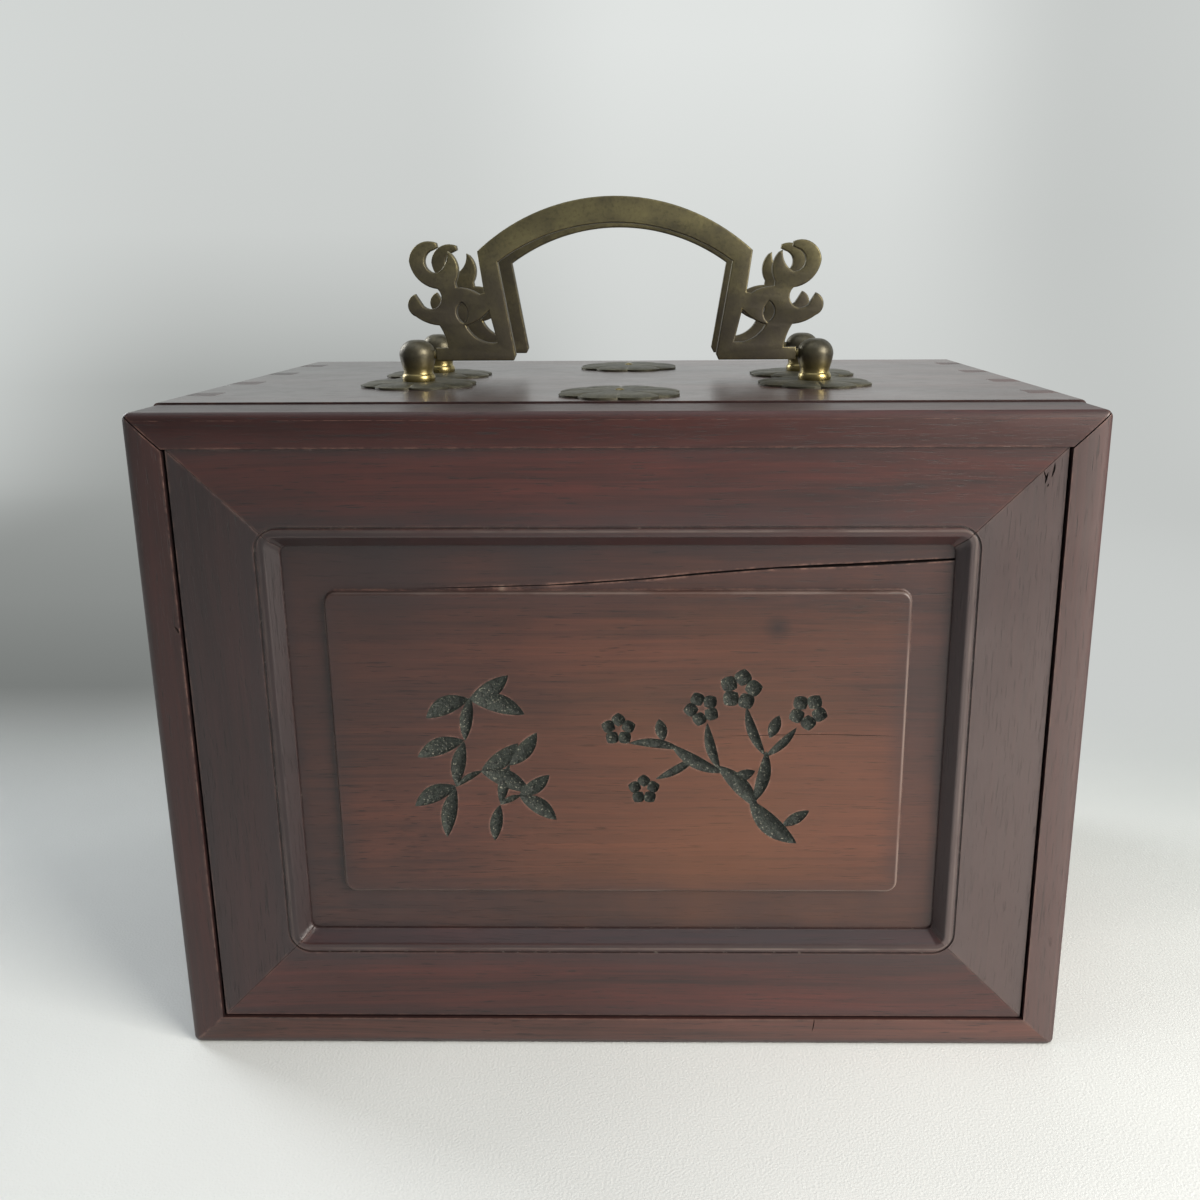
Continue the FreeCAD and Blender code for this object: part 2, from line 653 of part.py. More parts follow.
def make_posts():
    """A domed post that holds a bail's pin; the other three are its mirror images."""
    body = new_body("post_front_right")
    sketch = new_sketch(body, "post_profile", "XZ_Plane")
    ring, neck, belly = (value(n) for n in ("post_ring_radius", "post_neck_radius", "post_radius"))
    tall, pivot, seat = value("post_tall"), value("pivot_rise"), value("plate_thick")
    shank, rivet = value("shank_radius"), value("rivet_radius")
    under = -(value("top_thick") - value("counterbore_deep"))
    washer_low, rivet_tall = under - value("washer_thick"), value("rivet_tall")
    line = Part.LineSegment
    ring_top, waist = seat + 2.4, seat + 3.6
    outline = [
        line(V(0, washer_low - rivet_tall), V(rivet * 0.55, washer_low - rivet_tall)),
        Part.Arc(V(rivet * 0.55, washer_low - rivet_tall),
                 V(rivet * 0.92, washer_low - rivet_tall * 0.55), V(rivet, washer_low)),
        line(V(rivet, washer_low), V(shank, washer_low)),
        line(V(shank, washer_low), V(shank, seat)),
        line(V(shank, seat), V(ring - 0.4, seat)),
        Part.Arc(V(ring - 0.4, seat), V(ring, (seat + ring_top) / 2), V(ring - 0.4, ring_top)),
        line(V(ring - 0.4, ring_top), V(neck, ring_top)),
        line(V(neck, ring_top), V(neck, waist)),
        Part.Arc(V(neck, waist), V(neck + 0.35, pivot - 3), V(belly, pivot)),
        Part.Arc(V(belly, pivot), V(belly * 0.74, pivot + (tall - pivot) * 0.72), V(0, tall)),
        line(V(0, tall), V(0, washer_low - rivet_tall)),
    ]
    turned_profile(sketch, outline)
    turning = body.newObject("PartDesign::Revolution", "post_turning")
    turning.Profile = sketch
    turning.ReferenceAxis = (sketch, ["V_Axis"])
    turning.Angle = 360
    doc.recompute()
    eye = new_sketch(body, "pin_hole", "YZ_Plane", "-post_radius - foot_end_clear - 0.3")
    eye.addGeometry(Part.Circle(V(0, pivot), V(0, 0, 1), value("pin_radius") + value("pin_clear")))
    index = eye.addConstraint(Sketcher.Constraint("Radius", 0, value("pin_radius") + value("pin_clear")))
    eye.setExpression(f"Constraints[{index}]", formula("pin_radius + pin_clear"))
    eye.addConstraint(Sketcher.Constraint("PointOnObject", 0, 3, -2))
    index = eye.addConstraint(Sketcher.Constraint("DistanceY", -1, 1, 0, 3, pivot))
    eye.setExpression(f"Constraints[{index}]", formula("pivot_rise"))
    pocket(body, eye, "pin_into_post + bore_past_pin + 0.3", "pin_bore", reverse=True)
    body.setExpression("Placement.Base.x", formula("handle_shift + post_half_span"))
    body.setExpression("Placement.Base.y", formula("-post_half_pitch"))
    body.setExpression("Placement.Base.z", formula("board_top"))
    left = mirrored("post_front_left", body, (1, 0, 0), "handle_shift")
    return [body, left, mirrored("post_back_right", body, (0, 1, 0)),
            mirrored("post_back_left", left, (0, 1, 0))]


def make_washers():
    rings = []
    for name, across, along in post_places():
        low = "board_under + counterbore_deep - washer_thick"
        disc = rod(f"washer_disc_{name}", "washer_radius", "washer_thick", across, along, low)
        eye = rod(f"washer_eye_{name}", "shank_radius + shank_clear", "washer_thick", across, along, low)
        rings.append(cut(f"washer_{name}", disc, [eye]))
    return group("post_washers", rings)


def flower_plate(name, hole, x, y):
    """A stamped plate whose edge is a ring of round lobes, veined between the lobes."""
    body = new_body(name)
    sketch = new_sketch(body, f"{name}_outline", "XY_Plane")
    lobes = int(value("plate_lobes"))
    step = 2 * math.pi / lobes
    spoke = lambda radius, angle: V(radius * math.cos(angle), radius * math.sin(angle))
    tip, notch = value("plate_radius"), value("plate_notch_radius")
    for lobe in range(lobes):
        start = lobe * step
        sketch.addGeometry(Part.Arc(spoke(notch, start), spoke(tip, start + step / 2),
                                    spoke(notch, start + step)))
    pad(body, sketch, "plate_thick", f"{name}_pad")
    eye = new_sketch(body, f"{name}_eye", "XY_Plane")
    eye.addGeometry(Part.Circle(V(0, 0), V(0, 0, 1), value(hole)))
    index = eye.addConstraint(Sketcher.Constraint("Radius", 0, value(hole)))
    eye.setExpression(f"Constraints[{index}]", formula(hole))
    eye.addConstraint(Sketcher.Constraint("Coincident", 0, 3, -1, 1))
    pocket(body, eye, "0", f"{name}_hole", through=True)
    vein = new_sketch(body, f"{name}_vein", "XY_Plane", "plate_thick")
    inner, wide = value("vein_inner"), value("vein_wide")
    rim = [V(inner, 0), V(tip, -wide / 2), V(tip, wide / 2)]
    for start, end in zip(rim, rim[1:] + rim[:1]):
        vein.addGeometry(Part.LineSegment(start, end))
    cut_vein = pocket(body, vein, "vein_deep", f"{name}_groove")
    turns = body.newObject("PartDesign::PolarPattern", f"{name}_veins")
    turns.Originals = [cut_vein]
    turns.Axis = (vein, ["N_Axis"])
    turns.Angle = 360
    turns.Occurrences = lobes
    body.Tip = turns
    body.setExpression("Placement.Base.x", formula(x))
    body.setExpression("Placement.Base.y", formula(y))
    body.setExpression("Placement.Base.z", formula("board_top"))
    return body


def make_plates():
    """Six plates of one pattern: four under the posts, two where the folded bails land."""
    under_post = flower_plate("post_plate", "shank_radius", "handle_shift + post_half_span",
                              "-post_half_pitch")
    other_side = mirrored("post_plate_left", under_post, (1, 0, 0), "handle_shift")
    front_pair = [under_post, other_side]
    back_pair = [mirrored(f"post_plate_back_{n}", plate, (0, 1, 0)) for n, plate in enumerate(front_pair)]
    strike = flower_plate("strike_plate", "nail_shank_radius", "0", "-strike_reach")
    strike_back = mirrored("strike_plate_back", strike, (0, 1, 0))
    return [group("post_plates", front_pair + back_pair), group("strike_plates", [strike, strike_back])]


def make_nails():
    """Round-headed nails through the middle of the strike plates."""
    body = new_body("strike_nail")
    sketch = new_sketch(body, "nail_profile", "XZ_Plane")
    head, shank, seat = value("nail_radius"), value("nail_shank_radius"), value("plate_thick")
    top, low = seat + value("nail_head_tall"), seat - value("nail_long")
    line = Part.LineSegment
    tip, crown = shank * 0.3, head * 0.2
    turned_profile(sketch, [
        line(V(0, low), V(tip, low)),
        line(V(tip, low), V(shank, low + 1.6)),
        line(V(shank, low + 1.6), V(shank, seat)),
        line(V(shank, seat), V(head, seat)),
        Part.Arc(V(head, seat), V(head * 0.75, seat + value("nail_head_tall") * 0.66), V(crown, top)),
        line(V(crown, top), V(0, top)),
        line(V(0, top), V(0, low)),
    ])
    turning = body.newObject("PartDesign::Revolution", "nail_turning")
    turning.Profile = sketch
    turning.ReferenceAxis = (sketch, ["V_Axis"])
    turning.Angle = 360
    body.setExpression("Placement.Base.y", formula("-strike_reach"))
    body.setExpression("Placement.Base.z", formula("board_top"))
    return group("strike_nails", [body, mirrored("strike_nail_back", body, (0, 1, 0))])


def bail_outline():
    """The bail's outer edge, from the left post round the arch to the right post and back.

    Points are (distance inwards from the post's axis, height above the pivot). The scroll is
    a stem that rises from the foot, with a hook curled round an open eye on top, a horn beside
    the eye, a smaller hook outside and an arm back to the leg.
    """
    rise, thick = value("bail_rise"), value("arch_thick")
    low = -value("foot_thick") / 2
    high = value("foot_thick") / 2
    foot_end = value("post_radius") + value("foot_end_clear")
    pin, into = value("pin_radius"), value("pin_into_post")
    shoulder = (value("shoulder_from_post"), rise - value("arch_sag"))
    inner_shoulder = (value("shoulder_inner_from_post"), rise - thick - value("arch_inner_sag"))
    foot = value("leg_foot_from_post")
    chain = [
        shoulder,
        ("line", (20.5, 17.5)), ("line", (19.1, 17.1)),
        ("arc", (16.2, 18.5), (12.5, 19.1)),
        ("line", (12.3, 20.4)), ("arc", (13.1, 24.6), (11.1, 28.9)),
        ("arc", (10.0, 25.2), (7.0, 23.0)),
        ("arc", (3.2, 26.4), (6.0, 29.7)),
        ("line", (7.6, 30.5)),
        ("line", (7.2, 31.6)),
        ("arc", (1.3, 30.7), (-0.9, 26.4)),
        ("arc", (1.1, 21.8), (7.0, 18.6)),
        ("arc", (7.2, 14.0), (2.6, 13.8)),
        ("line", (0.4, 17.2)),
        ("arc", (-1.8, 14.6), (0.4, 10.8)),
        ("arc", (3.2, 9.2), (7.1, 8.3)),
        ("arc", (8.6, 5.2), (9.4, high)),
        ("line", (foot_end, high)), ("line", (foot_end, pin)),
        ("line", (foot_end - into, pin)), ("line", (foot_end - into, -pin)),
        ("line", (foot_end, -pin)), ("line", (foot_end, low)),
        ("line", (foot - 0.8, low)), ("line", (foot, low + 1.6)),
        ("line", inner_shoulder),
    ]
    return shoulder, inner_shoulder, chain


def bail_holes():
    """The teardrop beside the stem, and the three-cornered gap between leg, foot and leaf."""
    high = value("foot_thick") / 2
    teardrop = [(13.8, 14.9), ("arc", (12.3, 12.4), (14.3, 8.9)), ("arc", (15.5, 12.0), (13.8, 14.9))]
    corner = [(21.7, 12.5), ("arc", (18.6, 9.8), (14.9, 8.2)), ("arc", (18.4, 4.4), (23.0, high + 1.4)),
              ("line", (23.9, high + 1.6)), ("line", (21.7, 12.5))]
    return [teardrop, corner]


def drawn_chain(start, chain, side):
    """Lines and arcs of one chain, for the right (side 1) or the left (side -1) end."""
    span, edges, here = value("post_half_span"), [], start
    at = lambda point: V(side * (span - point[0]), point[1])
    for kind, *points in chain:
        if kind == "line":
            edges.append(Part.LineSegment(at(here), at(points[0])))
        else:
            edges.append(Part.Arc(at(here), at(points[0]), at(points[1])))
        here = points[-1]
    return edges


def make_bails():
    """Cast bails, each padded from its pierced outline, with round pins at the feet."""
    body = new_body("front_bail")
    sketch = new_sketch(body, "bail_outline", "XZ_Plane")
    shoulder, inner_shoulder, chain = bail_outline()
    for side in (1, -1):
        for edge in drawn_chain(chain[0], chain[1:], side):
            sketch.addGeometry(edge)
        for start, *rest in bail_holes():
            for edge in drawn_chain(start, rest, side):
                sketch.addGeometry(edge)
    span, rise = value("post_half_span"), value("bail_rise")
    for half, height, top in ((span - shoulder[0], shoulder[1], rise),
                              (span - inner_shoulder[0], inner_shoulder[1], rise - value("arch_thick"))):
        sketch.addGeometry(Part.Arc(V(-half, height), V(0, top), V(half, height)))
    slab = pad(body, sketch, "bail_thick", "bail_casting", both_ways=True)
    round_pins(body, slab)
    body.setExpression("Placement.Base.x", formula("handle_shift"))
    body.setExpression("Placement.Base.y", formula("-post_half_pitch"))
    body.setExpression("Placement.Base.z", formula("board_top + pivot_rise"))
    return [body, mirrored("back_bail", body, (0, 1, 0))]


def round_pins(body, slab):
    """Turn the square ends down to round pins on the pivot axis."""
    span, foot_end = value("post_half_span"), value("post_radius") + value("foot_end_clear")
    far = 2 * value("bail_thick")
    for name, start in (("right", span - foot_end), ("left", -span + foot_end)):
        sketch = new_sketch(body, f"pin_{name}", "YZ_Plane", f"{start}")
        corners = [V(-far, -far), V(far, -far), V(far, far), V(-far, far)]
        for first, second in zip(corners, corners[1:] + corners[:1]):
            sketch.addGeometry(Part.LineSegment(first, second))
        sketch.addGeometry(Part.Circle(V(0, 0), V(0, 0, 1), value("pin_radius")))
        pocket(body, sketch, "pin_into_post + 1", f"pin_turning_{name}", reverse=(name == "right"))


# ---------------------------------------------------------------- assembly and files
def build():
    ring = frame_ring()
    left, right, sill, top_rail = make_front_frame(ring)
    pieces = make_carcass() + [left, right, sill]
    pieces += make_panel(panel_ring(), top_rail)
    for number in range(1, int(value("drawer_count")) + 1):
        pieces += make_drawer(number)
    pieces += make_bails() + make_posts() + [make_washers()] + make_plates() + [make_nails()]
    return pieces


def write(pieces):
    """Check every object, then write each piece to its own file."""
    doc.recompute()
    failed = [o.Name for o in doc.Objects if {"Invalid", "Error"} & set(o.State)]
    if failed:
        raise RuntimeError(f"failed objects: {failed}")
    for piece in pieces:
        piece.Label = piece.Name.replace("_base", "_bottom") if piece.Name.startswith("drawer") else piece.Name
        shape = piece.Shape
        if shape.isNull() or not shape.isValid() or not shape.Solids:
            raise RuntimeError(f"{piece.Label} has no valid solid")
    for piece in pieces:
        piece.Shape.exportStep(os.path.join("parts", f"{piece.Label}.step"))
        print(f"{piece.Label:22s} solids {len(piece.Shape.Solids)}  volume {piece.Shape.Volume:10.1f}")
    print(len(pieces), "pieces")


write(build())
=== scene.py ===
# %% [markdown]
# # A mahjong case with drawers, dressed in rosewood and old brass
#
# The case is a small dovetailed box that is carried by two cast brass bails. Its front is a
# framed panel that lifts out, with five drawers behind it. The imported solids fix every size,
# so this lesson keeps them, softens their edges, and gives each board its own grain.
# All places are in metres: X is the width, the front faces -Y and Z is up.

# %% Load the case
import cmath
import json
import math
from contextlib import contextmanager

import bpy
from mathutils import Matrix, Vector


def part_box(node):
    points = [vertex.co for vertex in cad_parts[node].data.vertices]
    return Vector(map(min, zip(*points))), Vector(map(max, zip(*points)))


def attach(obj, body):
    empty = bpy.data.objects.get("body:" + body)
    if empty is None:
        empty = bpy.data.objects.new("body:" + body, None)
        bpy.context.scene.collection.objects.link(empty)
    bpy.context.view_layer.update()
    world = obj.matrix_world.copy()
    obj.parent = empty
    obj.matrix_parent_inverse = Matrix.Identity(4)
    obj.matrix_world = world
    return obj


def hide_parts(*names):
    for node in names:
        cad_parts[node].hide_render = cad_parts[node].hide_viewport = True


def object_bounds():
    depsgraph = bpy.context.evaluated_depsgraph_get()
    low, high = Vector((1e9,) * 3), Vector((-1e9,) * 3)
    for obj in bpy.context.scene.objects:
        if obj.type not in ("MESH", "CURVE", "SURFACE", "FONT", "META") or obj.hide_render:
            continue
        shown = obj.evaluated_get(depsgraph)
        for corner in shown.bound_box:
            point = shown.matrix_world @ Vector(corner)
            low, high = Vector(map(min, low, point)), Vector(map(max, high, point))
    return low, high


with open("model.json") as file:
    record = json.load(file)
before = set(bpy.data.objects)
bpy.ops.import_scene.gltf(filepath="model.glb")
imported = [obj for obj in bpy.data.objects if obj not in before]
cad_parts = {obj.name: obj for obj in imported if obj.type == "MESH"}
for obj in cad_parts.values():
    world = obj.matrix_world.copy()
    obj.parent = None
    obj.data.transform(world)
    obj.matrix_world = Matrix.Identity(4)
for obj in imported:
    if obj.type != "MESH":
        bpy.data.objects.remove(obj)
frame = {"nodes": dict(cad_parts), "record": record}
cad_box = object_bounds()
nodes = frame["nodes"]
print("CAD pieces:", len(nodes), "box:", [[round(c, 4) for c in corner] for corner in cad_box])

# %% [markdown]
# ## Places taken from the solids
#
# A few measures of the handles and the panel are needed again and again. They are named once
# here, in millimetres as on a workshop drawing, and MM turns them into Blender's metres.

# %% Name the sizes
MM = 0.001


def middle(node):
    low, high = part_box(node)
    return (low + high) / 2


BOARD_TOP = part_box("post_plates")[0].z          # top face of the lid
PIN_UP, PIN_IN = 9.05 * MM, 4.6 * MM            # a bail's pin, up from the lid and in from its post
PIVOT = BOARD_TOP + PIN_UP                      # height of the pins
HANDLE_X = middle("front_bail").x               # the handles stand a little left of the middle
SPAN = middle("post_front_right").x - HANDLE_X  # from there to a post
POST_Y = middle("post_back_right").y            # and from the middle to either bail
FIELD_FACE = -81.7 * MM                         # flat margin of the carved board
TABLET_FACE = -83.5 * MM                        # raised middle of the carved board
PANEL_MIDDLE = 88.45 * MM                       # middle height of the panel

# %% [markdown]
# ## Small helpers
#
# Blender's operators act on whatever is selected, so every step starts from a clean selection.
# These helpers also make turned shapes, and put a finished piece in place of its solid.


# %% Helpers for selecting, making and finishing
def only(obj):
    """Select this object alone and make it active."""
    bpy.ops.object.select_all(action="DESELECT")
    obj.select_set(True)
    bpy.context.view_layer.objects.active = obj
    return obj


@contextmanager
def editing(obj):
    """Edit Mode with the whole mesh selected, and Object Mode again afterwards."""
    only(obj)
    bpy.ops.object.mode_set(mode="EDIT")
    bpy.ops.mesh.select_all(action="SELECT")
    yield
    bpy.ops.object.mode_set(mode="OBJECT")


def settle(obj, place=None, turn=None):
    """Put an object in its place, turned, and write both into its mesh."""
    obj.location = place or obj.location
    obj.rotation_euler = turn or obj.rotation_euler
    only(obj)
    bpy.ops.object.transform_apply(location=True, rotation=True, scale=True)
    return obj


def adjust(thing, **settings):
    for key, setting in settings.items():
        setattr(thing, key, setting)
    return thing


def apply_modifiers(obj):
    only(obj)
    for modifier in list(obj.modifiers):
        bpy.ops.object.modifier_apply(modifier=modifier.name)


def smooth(obj, degrees):
    only(obj)
    bpy.ops.object.shade_smooth_by_angle(angle=math.radians(degrees))


def tidy_mesh(obj, merge=1e-6):
    """Merge doubled corners and turn every face outwards."""
    with editing(obj):
        bpy.ops.mesh.remove_doubles(threshold=merge)
        bpy.ops.mesh.normals_make_consistent(inside=False)
    return obj


def new_object(name, data):
    obj = bpy.data.objects.new(name, data)
    bpy.context.collection.objects.link(obj)
    return obj


def line_of(name, points):
    """An open line through the points."""
    mesh = bpy.data.meshes.new(name)
    mesh.from_pydata(points, [(i, i + 1) for i in range(len(points) - 1)], [])
    return new_object(name, mesh)


def spun(name, points, axis, steps, merge=1e-6):
    """A line spun once round an axis through the origin, as on a lathe."""
    piece = line_of(name, points)
    with editing(piece):
        bpy.ops.mesh.spin(steps=steps, angle=2 * math.pi, center=(0, 0, 0), axis=axis)
    return tidy_mesh(piece, merge)


def bar_along_x(radius, length, place):
    """A round bar that lies along X."""
    bpy.ops.mesh.primitive_cylinder_add(vertices=32, radius=radius, depth=length, location=place,
                                        rotation=(0, math.pi / 2, 0))
    return bpy.context.object


def joined(pieces, name):
    only(pieces[0])
    for piece in pieces:
        piece.select_set(True)
    bpy.ops.object.join()
    pieces[0].name = name
    return pieces[0]


def dress(obj, material):
    """Give the whole piece one material."""
    obj.data.materials.clear()
    obj.data.materials.append(material)
    return obj


node_body = {node: body for body, members in frame["record"]["behaviour"]["bodies"].items()
             for node in members}


def stands_for(piece, node, material, degrees=40):
    """Smooth and dress a piece that hides a solid and takes over its body."""
    smooth(piece, degrees)
    dress(piece, material)
    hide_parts(node)
    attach(piece, node_body[node])
    return piece


# %% [markdown]
# ## Shader building blocks
#
# A shader is a net of nodes. `Net` keeps the writing short: it adds a node, sets its values and
# links whatever is given as another node's output. It works for materials and for node groups.


# %% A short way to write node nets
class Net:
    def __init__(self, tree):
        self.tree = tree

    def add(self, kind, settings=(), **inputs):
        """A node with its settings and its inputs."""
        return self.feed(adjust(self.tree.nodes.new(kind), **dict(settings)), **inputs)

    def feed(self, node, **inputs):
        """Set or link inputs by name, with underscores for spaces, or by number, as in0."""
        for key, given in inputs.items():
            by_number = key.startswith("in") and key[2:].isdigit()
            socket = node.inputs[int(key[2:]) if by_number else key.replace("_", " ")]
            if isinstance(given, bpy.types.NodeSocket):
                self.tree.links.new(given, socket)
            else:
                socket.default_value = given
        return node

    def here(self):
        """The place of the shaded point, in the piece's own metres."""
        return self.add("ShaderNodeTexCoord").outputs["Object"]

    def xyz(self, vector):
        return self.add("ShaderNodeSeparateXYZ", Vector=vector).outputs

    def noise(self, vector, scale, detail=2.0, rough=0.5):
        return self.add("ShaderNodeTexNoise", Vector=vector, Scale=scale, Detail=detail,
                        Roughness=rough).outputs["Fac"]

    def stretch(self, vector, scale, place=(0, 0, 0), turn=(0, 0, 0)):
        return self.add("ShaderNodeMapping", Vector=vector, Scale=scale, Location=place,
                        Rotation=turn).outputs["Vector"]

    def streaks(self, vector, scale, detail, rough=0.5, place=(0, 0, 0)):
        """Noise that is stretched by a scale for each axis."""
        return self.noise(self.stretch(vector, scale, place), 1.0, detail, rough)

    def ramp(self, factor, *stops):
        """A colour ramp from (position, number or colour) stops."""
        node = self.add("ShaderNodeValToRGB", Fac=factor)
        ramp = node.color_ramp
        while len(ramp.elements) < len(stops):
            ramp.elements.new(0.5)
        for element, (position, tone) in zip(ramp.elements, stops):
            element.position = position
            element.color = (tone, tone, tone, 1) if isinstance(tone, (int, float)) else tone
        return node.outputs["Color"]

    def share(self, value, low, high, kind="SMOOTHSTEP", ends=(0.0, 1.0)):
        """How far a value has come from low to high, as a number between the ends."""
        return self.add("ShaderNodeMapRange", {"interpolation_type": kind}, Value=value, From_Min=low,
                        From_Max=high, To_Min=ends[0], To_Max=ends[1]).outputs["Result"]

    def math(self, operation, first, second=0.0, clamp=False):
        return self.add("ShaderNodeMath", {"operation": operation, "use_clamp": clamp},
                        in0=first, in1=second).outputs[0]

    def times(self, first, second, clamp=False):
        return self.math("MULTIPLY", first, second, clamp)

    def plus(self, first, second, clamp=False):
        return self.math("ADD", first, second, clamp)

    def minus(self, first, second, clamp=False):
        return self.math("SUBTRACT", first, second, clamp)

    def larger(self, first, second):
        return self.math("MAXIMUM", first, second)

    def measure(self, operation, first, second=(0, 0, 0)):
        """A number from vectors: a distance, a length or a dot product."""
        return self.add("ShaderNodeVectorMath", {"operation": operation}, in0=first,
                        in1=second).outputs["Value"]

    def mix(self, factor, first, second, blend="MIX"):
        return self.add("ShaderNodeMix", {"data_type": "RGBA", "blend_type": blend}, in0=factor,
                        in6=first, in7=second).outputs[2]

    def bump(self, height, strength, distance):
        return self.add("ShaderNodeBump", Height=height, Strength=strength,
                        Distance=distance).outputs["Normal"]

    def group(self, tree, **inputs):
        return self.add("ShaderNodeGroup", {"node_tree": tree}, **inputs).outputs


COLOUR, NUMBER, VECTOR = "NodeSocketColor", "NodeSocketFloat", "NodeSocketVector"


def new_group(name, inputs, outputs):
    """An empty node group: its net, what is given to it, and its end node."""
    tree = bpy.data.node_groups.new(name, "ShaderNodeTree")
    for in_out, sockets in (("INPUT", inputs), ("OUTPUT", outputs)):
        for label, kind in sockets.items():
            tree.interface.new_socket(label, in_out=in_out, socket_type=kind)
    return Net(tree), tree.nodes.new("NodeGroupInput").outputs, tree.nodes.new("NodeGroupOutput")


def new_material(name):
    """A material, the net to build it with, and its shader."""
    material = bpy.data.materials.new(name)
    material.use_nodes = True
    return material, Net(material.node_tree), material.node_tree.nodes["Principled BSDF"]


def rgb(red, green, blue):
    """A colour as it is read off a screen, 0 to 255, turned into the shader's linear light."""
    linear = [(c / 255 / 12.92) if c <= 10 else ((c / 255 + 0.055) / 1.055) ** 2.4
              for c in (red, green, blue)]
    return (*linear, 1.0)


# %% [markdown]
# ## The grain of rosewood
#
# Rosewood has three layers of pattern: wide dark and light bands, fine fibres along the board,
# and short dark pores. Each is a noise that is stretched along the grain. In "grain space" X
# runs along the board, so one group serves rails, stiles and drawers alike.

# %% The rosewood group
net, given, end = new_group(
    "rosewood grain",
    {"Grain": VECTOR, "Light": COLOUR, "Dark": COLOUR, "Bands": NUMBER, "Pores": NUMBER},
    {"Color": COLOUR, "Height": NUMBER, "Pore Mask": NUMBER})
grain = given["Grain"]
waver = net.add("ShaderNodeTexNoise", Vector=net.stretch(grain, (5, 16, 16)), Scale=1.0, Detail=2.0)
wavered = net.add("ShaderNodeVectorMath", {"operation": "MULTIPLY_ADD"},
                  in0=waver.outputs["Color"], in1=(0.0, 0.011, 0.011), in2=grain).outputs[0]
bands = net.streaks(wavered, (3.2, 70, 70), 3.0, 0.6)
wide = net.streaks(wavered, (2.0, 17, 17), 1.5, place=(0.3, 1.7, 0.9))
fibres = net.streaks(wavered, (22, 620, 620), 4.0, 0.65)
hairs = net.streaks(wavered, (14, 2100, 2100), 3.0, 0.7, (4, 1, 7))
pores = net.streaks(wavered, (120, 3000, 3000), 2.0, 0.6, (2, 5, 1))
tone = net.plus(net.times(bands, 0.55), net.times(wide, 0.45))
tone = net.ramp(tone, (0.36, 0.0), (0.5, 0.5), (0.63, 1.0))
tone = net.plus(net.times(net.minus(tone, 0.5), given["Bands"]), 0.5)
fine = net.plus(net.minus(fibres, 0.5), net.minus(hairs, 0.5))
tone = net.plus(tone, net.times(fine, 0.95), True)
pore_mask = net.times(net.ramp(pores, (0.61, 0.0), (0.68, 1.0)), given["Pores"])
wood = net.mix(pore_mask, net.mix(tone, given["Dark"], given["Light"]), rgb(20, 10, 9))
height = net.minus(net.times(fibres, 0.45), net.times(pore_mask, 0.8))
net.feed(end, Color=wood, Height=height, Pore_Mask=pore_mask)
rosewood_grain = net.tree

# %% [markdown]
# ## Rubbed edges, and painted shade in corners
#
# An old case is rubbed pale on its arrises; on the wood that pale line is partly wear and partly
# a painted highlight. Its corners are painted dark, as shade, and gather dust. The Bevel node
# rounds the normal near an edge, so where it differs from the true normal there is an edge.
# Ambient occlusion finds the corners. Noise breaks up the rubbing, as wear is never even.

# %% The wear group
net, given, end = new_group("wear and corner shade", {"Reach": NUMBER, "Break Up": NUMBER},
                            {"Rubbed": NUMBER, "Corner": NUMBER})
flat = net.add("ShaderNodeNewGeometry").outputs["True Normal"]
rounded = net.add("ShaderNodeBevel", {"samples": 6}, Radius=given["Reach"]).outputs["Normal"]
edge = net.ramp(net.minus(1.0, net.measure("DOT_PRODUCT", flat, rounded)), (0.015, 0.0), (0.16, 1.0))
# The corner mask: where the wood is painted dark as shade, and where dust gathers
open_sky = net.add("ShaderNodeAmbientOcclusion", {"samples": 8}, Distance=0.006).outputs["AO"]
corner = net.ramp(open_sky, (0.35, 1.0), (0.8, 0.0))
patches = net.ramp(net.noise(net.here(), given["Break Up"], 3.0, 0.7), (0.42, 0.0), (0.62, 1.0))
rubbed = net.times(net.times(edge, patches), net.minus(1.0, corner))
net.feed(end, Rubbed=rubbed, Corner=corner)
wear_and_corner_shade = net.tree

# %% [markdown]
# ## Painted shade along the mouldings
#
# Beside a moulding the wood is painted darker, as shade, and the crest of its bead gets a painted
# highlight. The moulding is a rectangle with round corners on the front, so this group measures
# how far a point lies outside that outline (inside counts as negative).

# %% The distance group
net, given, end = new_group(
    "distance to frame line",
    {"Half Width": NUMBER, "Half Height": NUMBER, "Middle": NUMBER, "Radius": NUMBER},
    {"Distance": NUMBER})
x, _, z = net.xyz(net.here())
radius = given["Radius"]
side_way = net.plus(net.minus(net.math("ABSOLUTE", x), given["Half Width"]), radius)
top_way = net.math("ABSOLUTE", net.minus(z, given["Middle"]))
top_way = net.plus(net.minus(top_way, given["Half Height"]), radius)
outside = net.add("ShaderNodeCombineXYZ", X=net.larger(side_way, 0.0), Y=net.larger(top_way, 0.0))
outside = net.measure("LENGTH", outside.outputs["Vector"])
inside = net.math("MINIMUM", net.larger(side_way, top_way), 0.0)
net.feed(end, Distance=net.minus(net.plus(outside, inside), radius))
frame_line = net.tree


def beyond(net, half_width, half_height, corner=0.0):
    """How far the point lies outside an outline on the panel, which is given in mm."""
    return net.group(frame_line, Half_Width=half_width * MM, Half_Height=half_height * MM,
                     Middle=PANEL_MIDDLE, Radius=corner * MM)["Distance"]
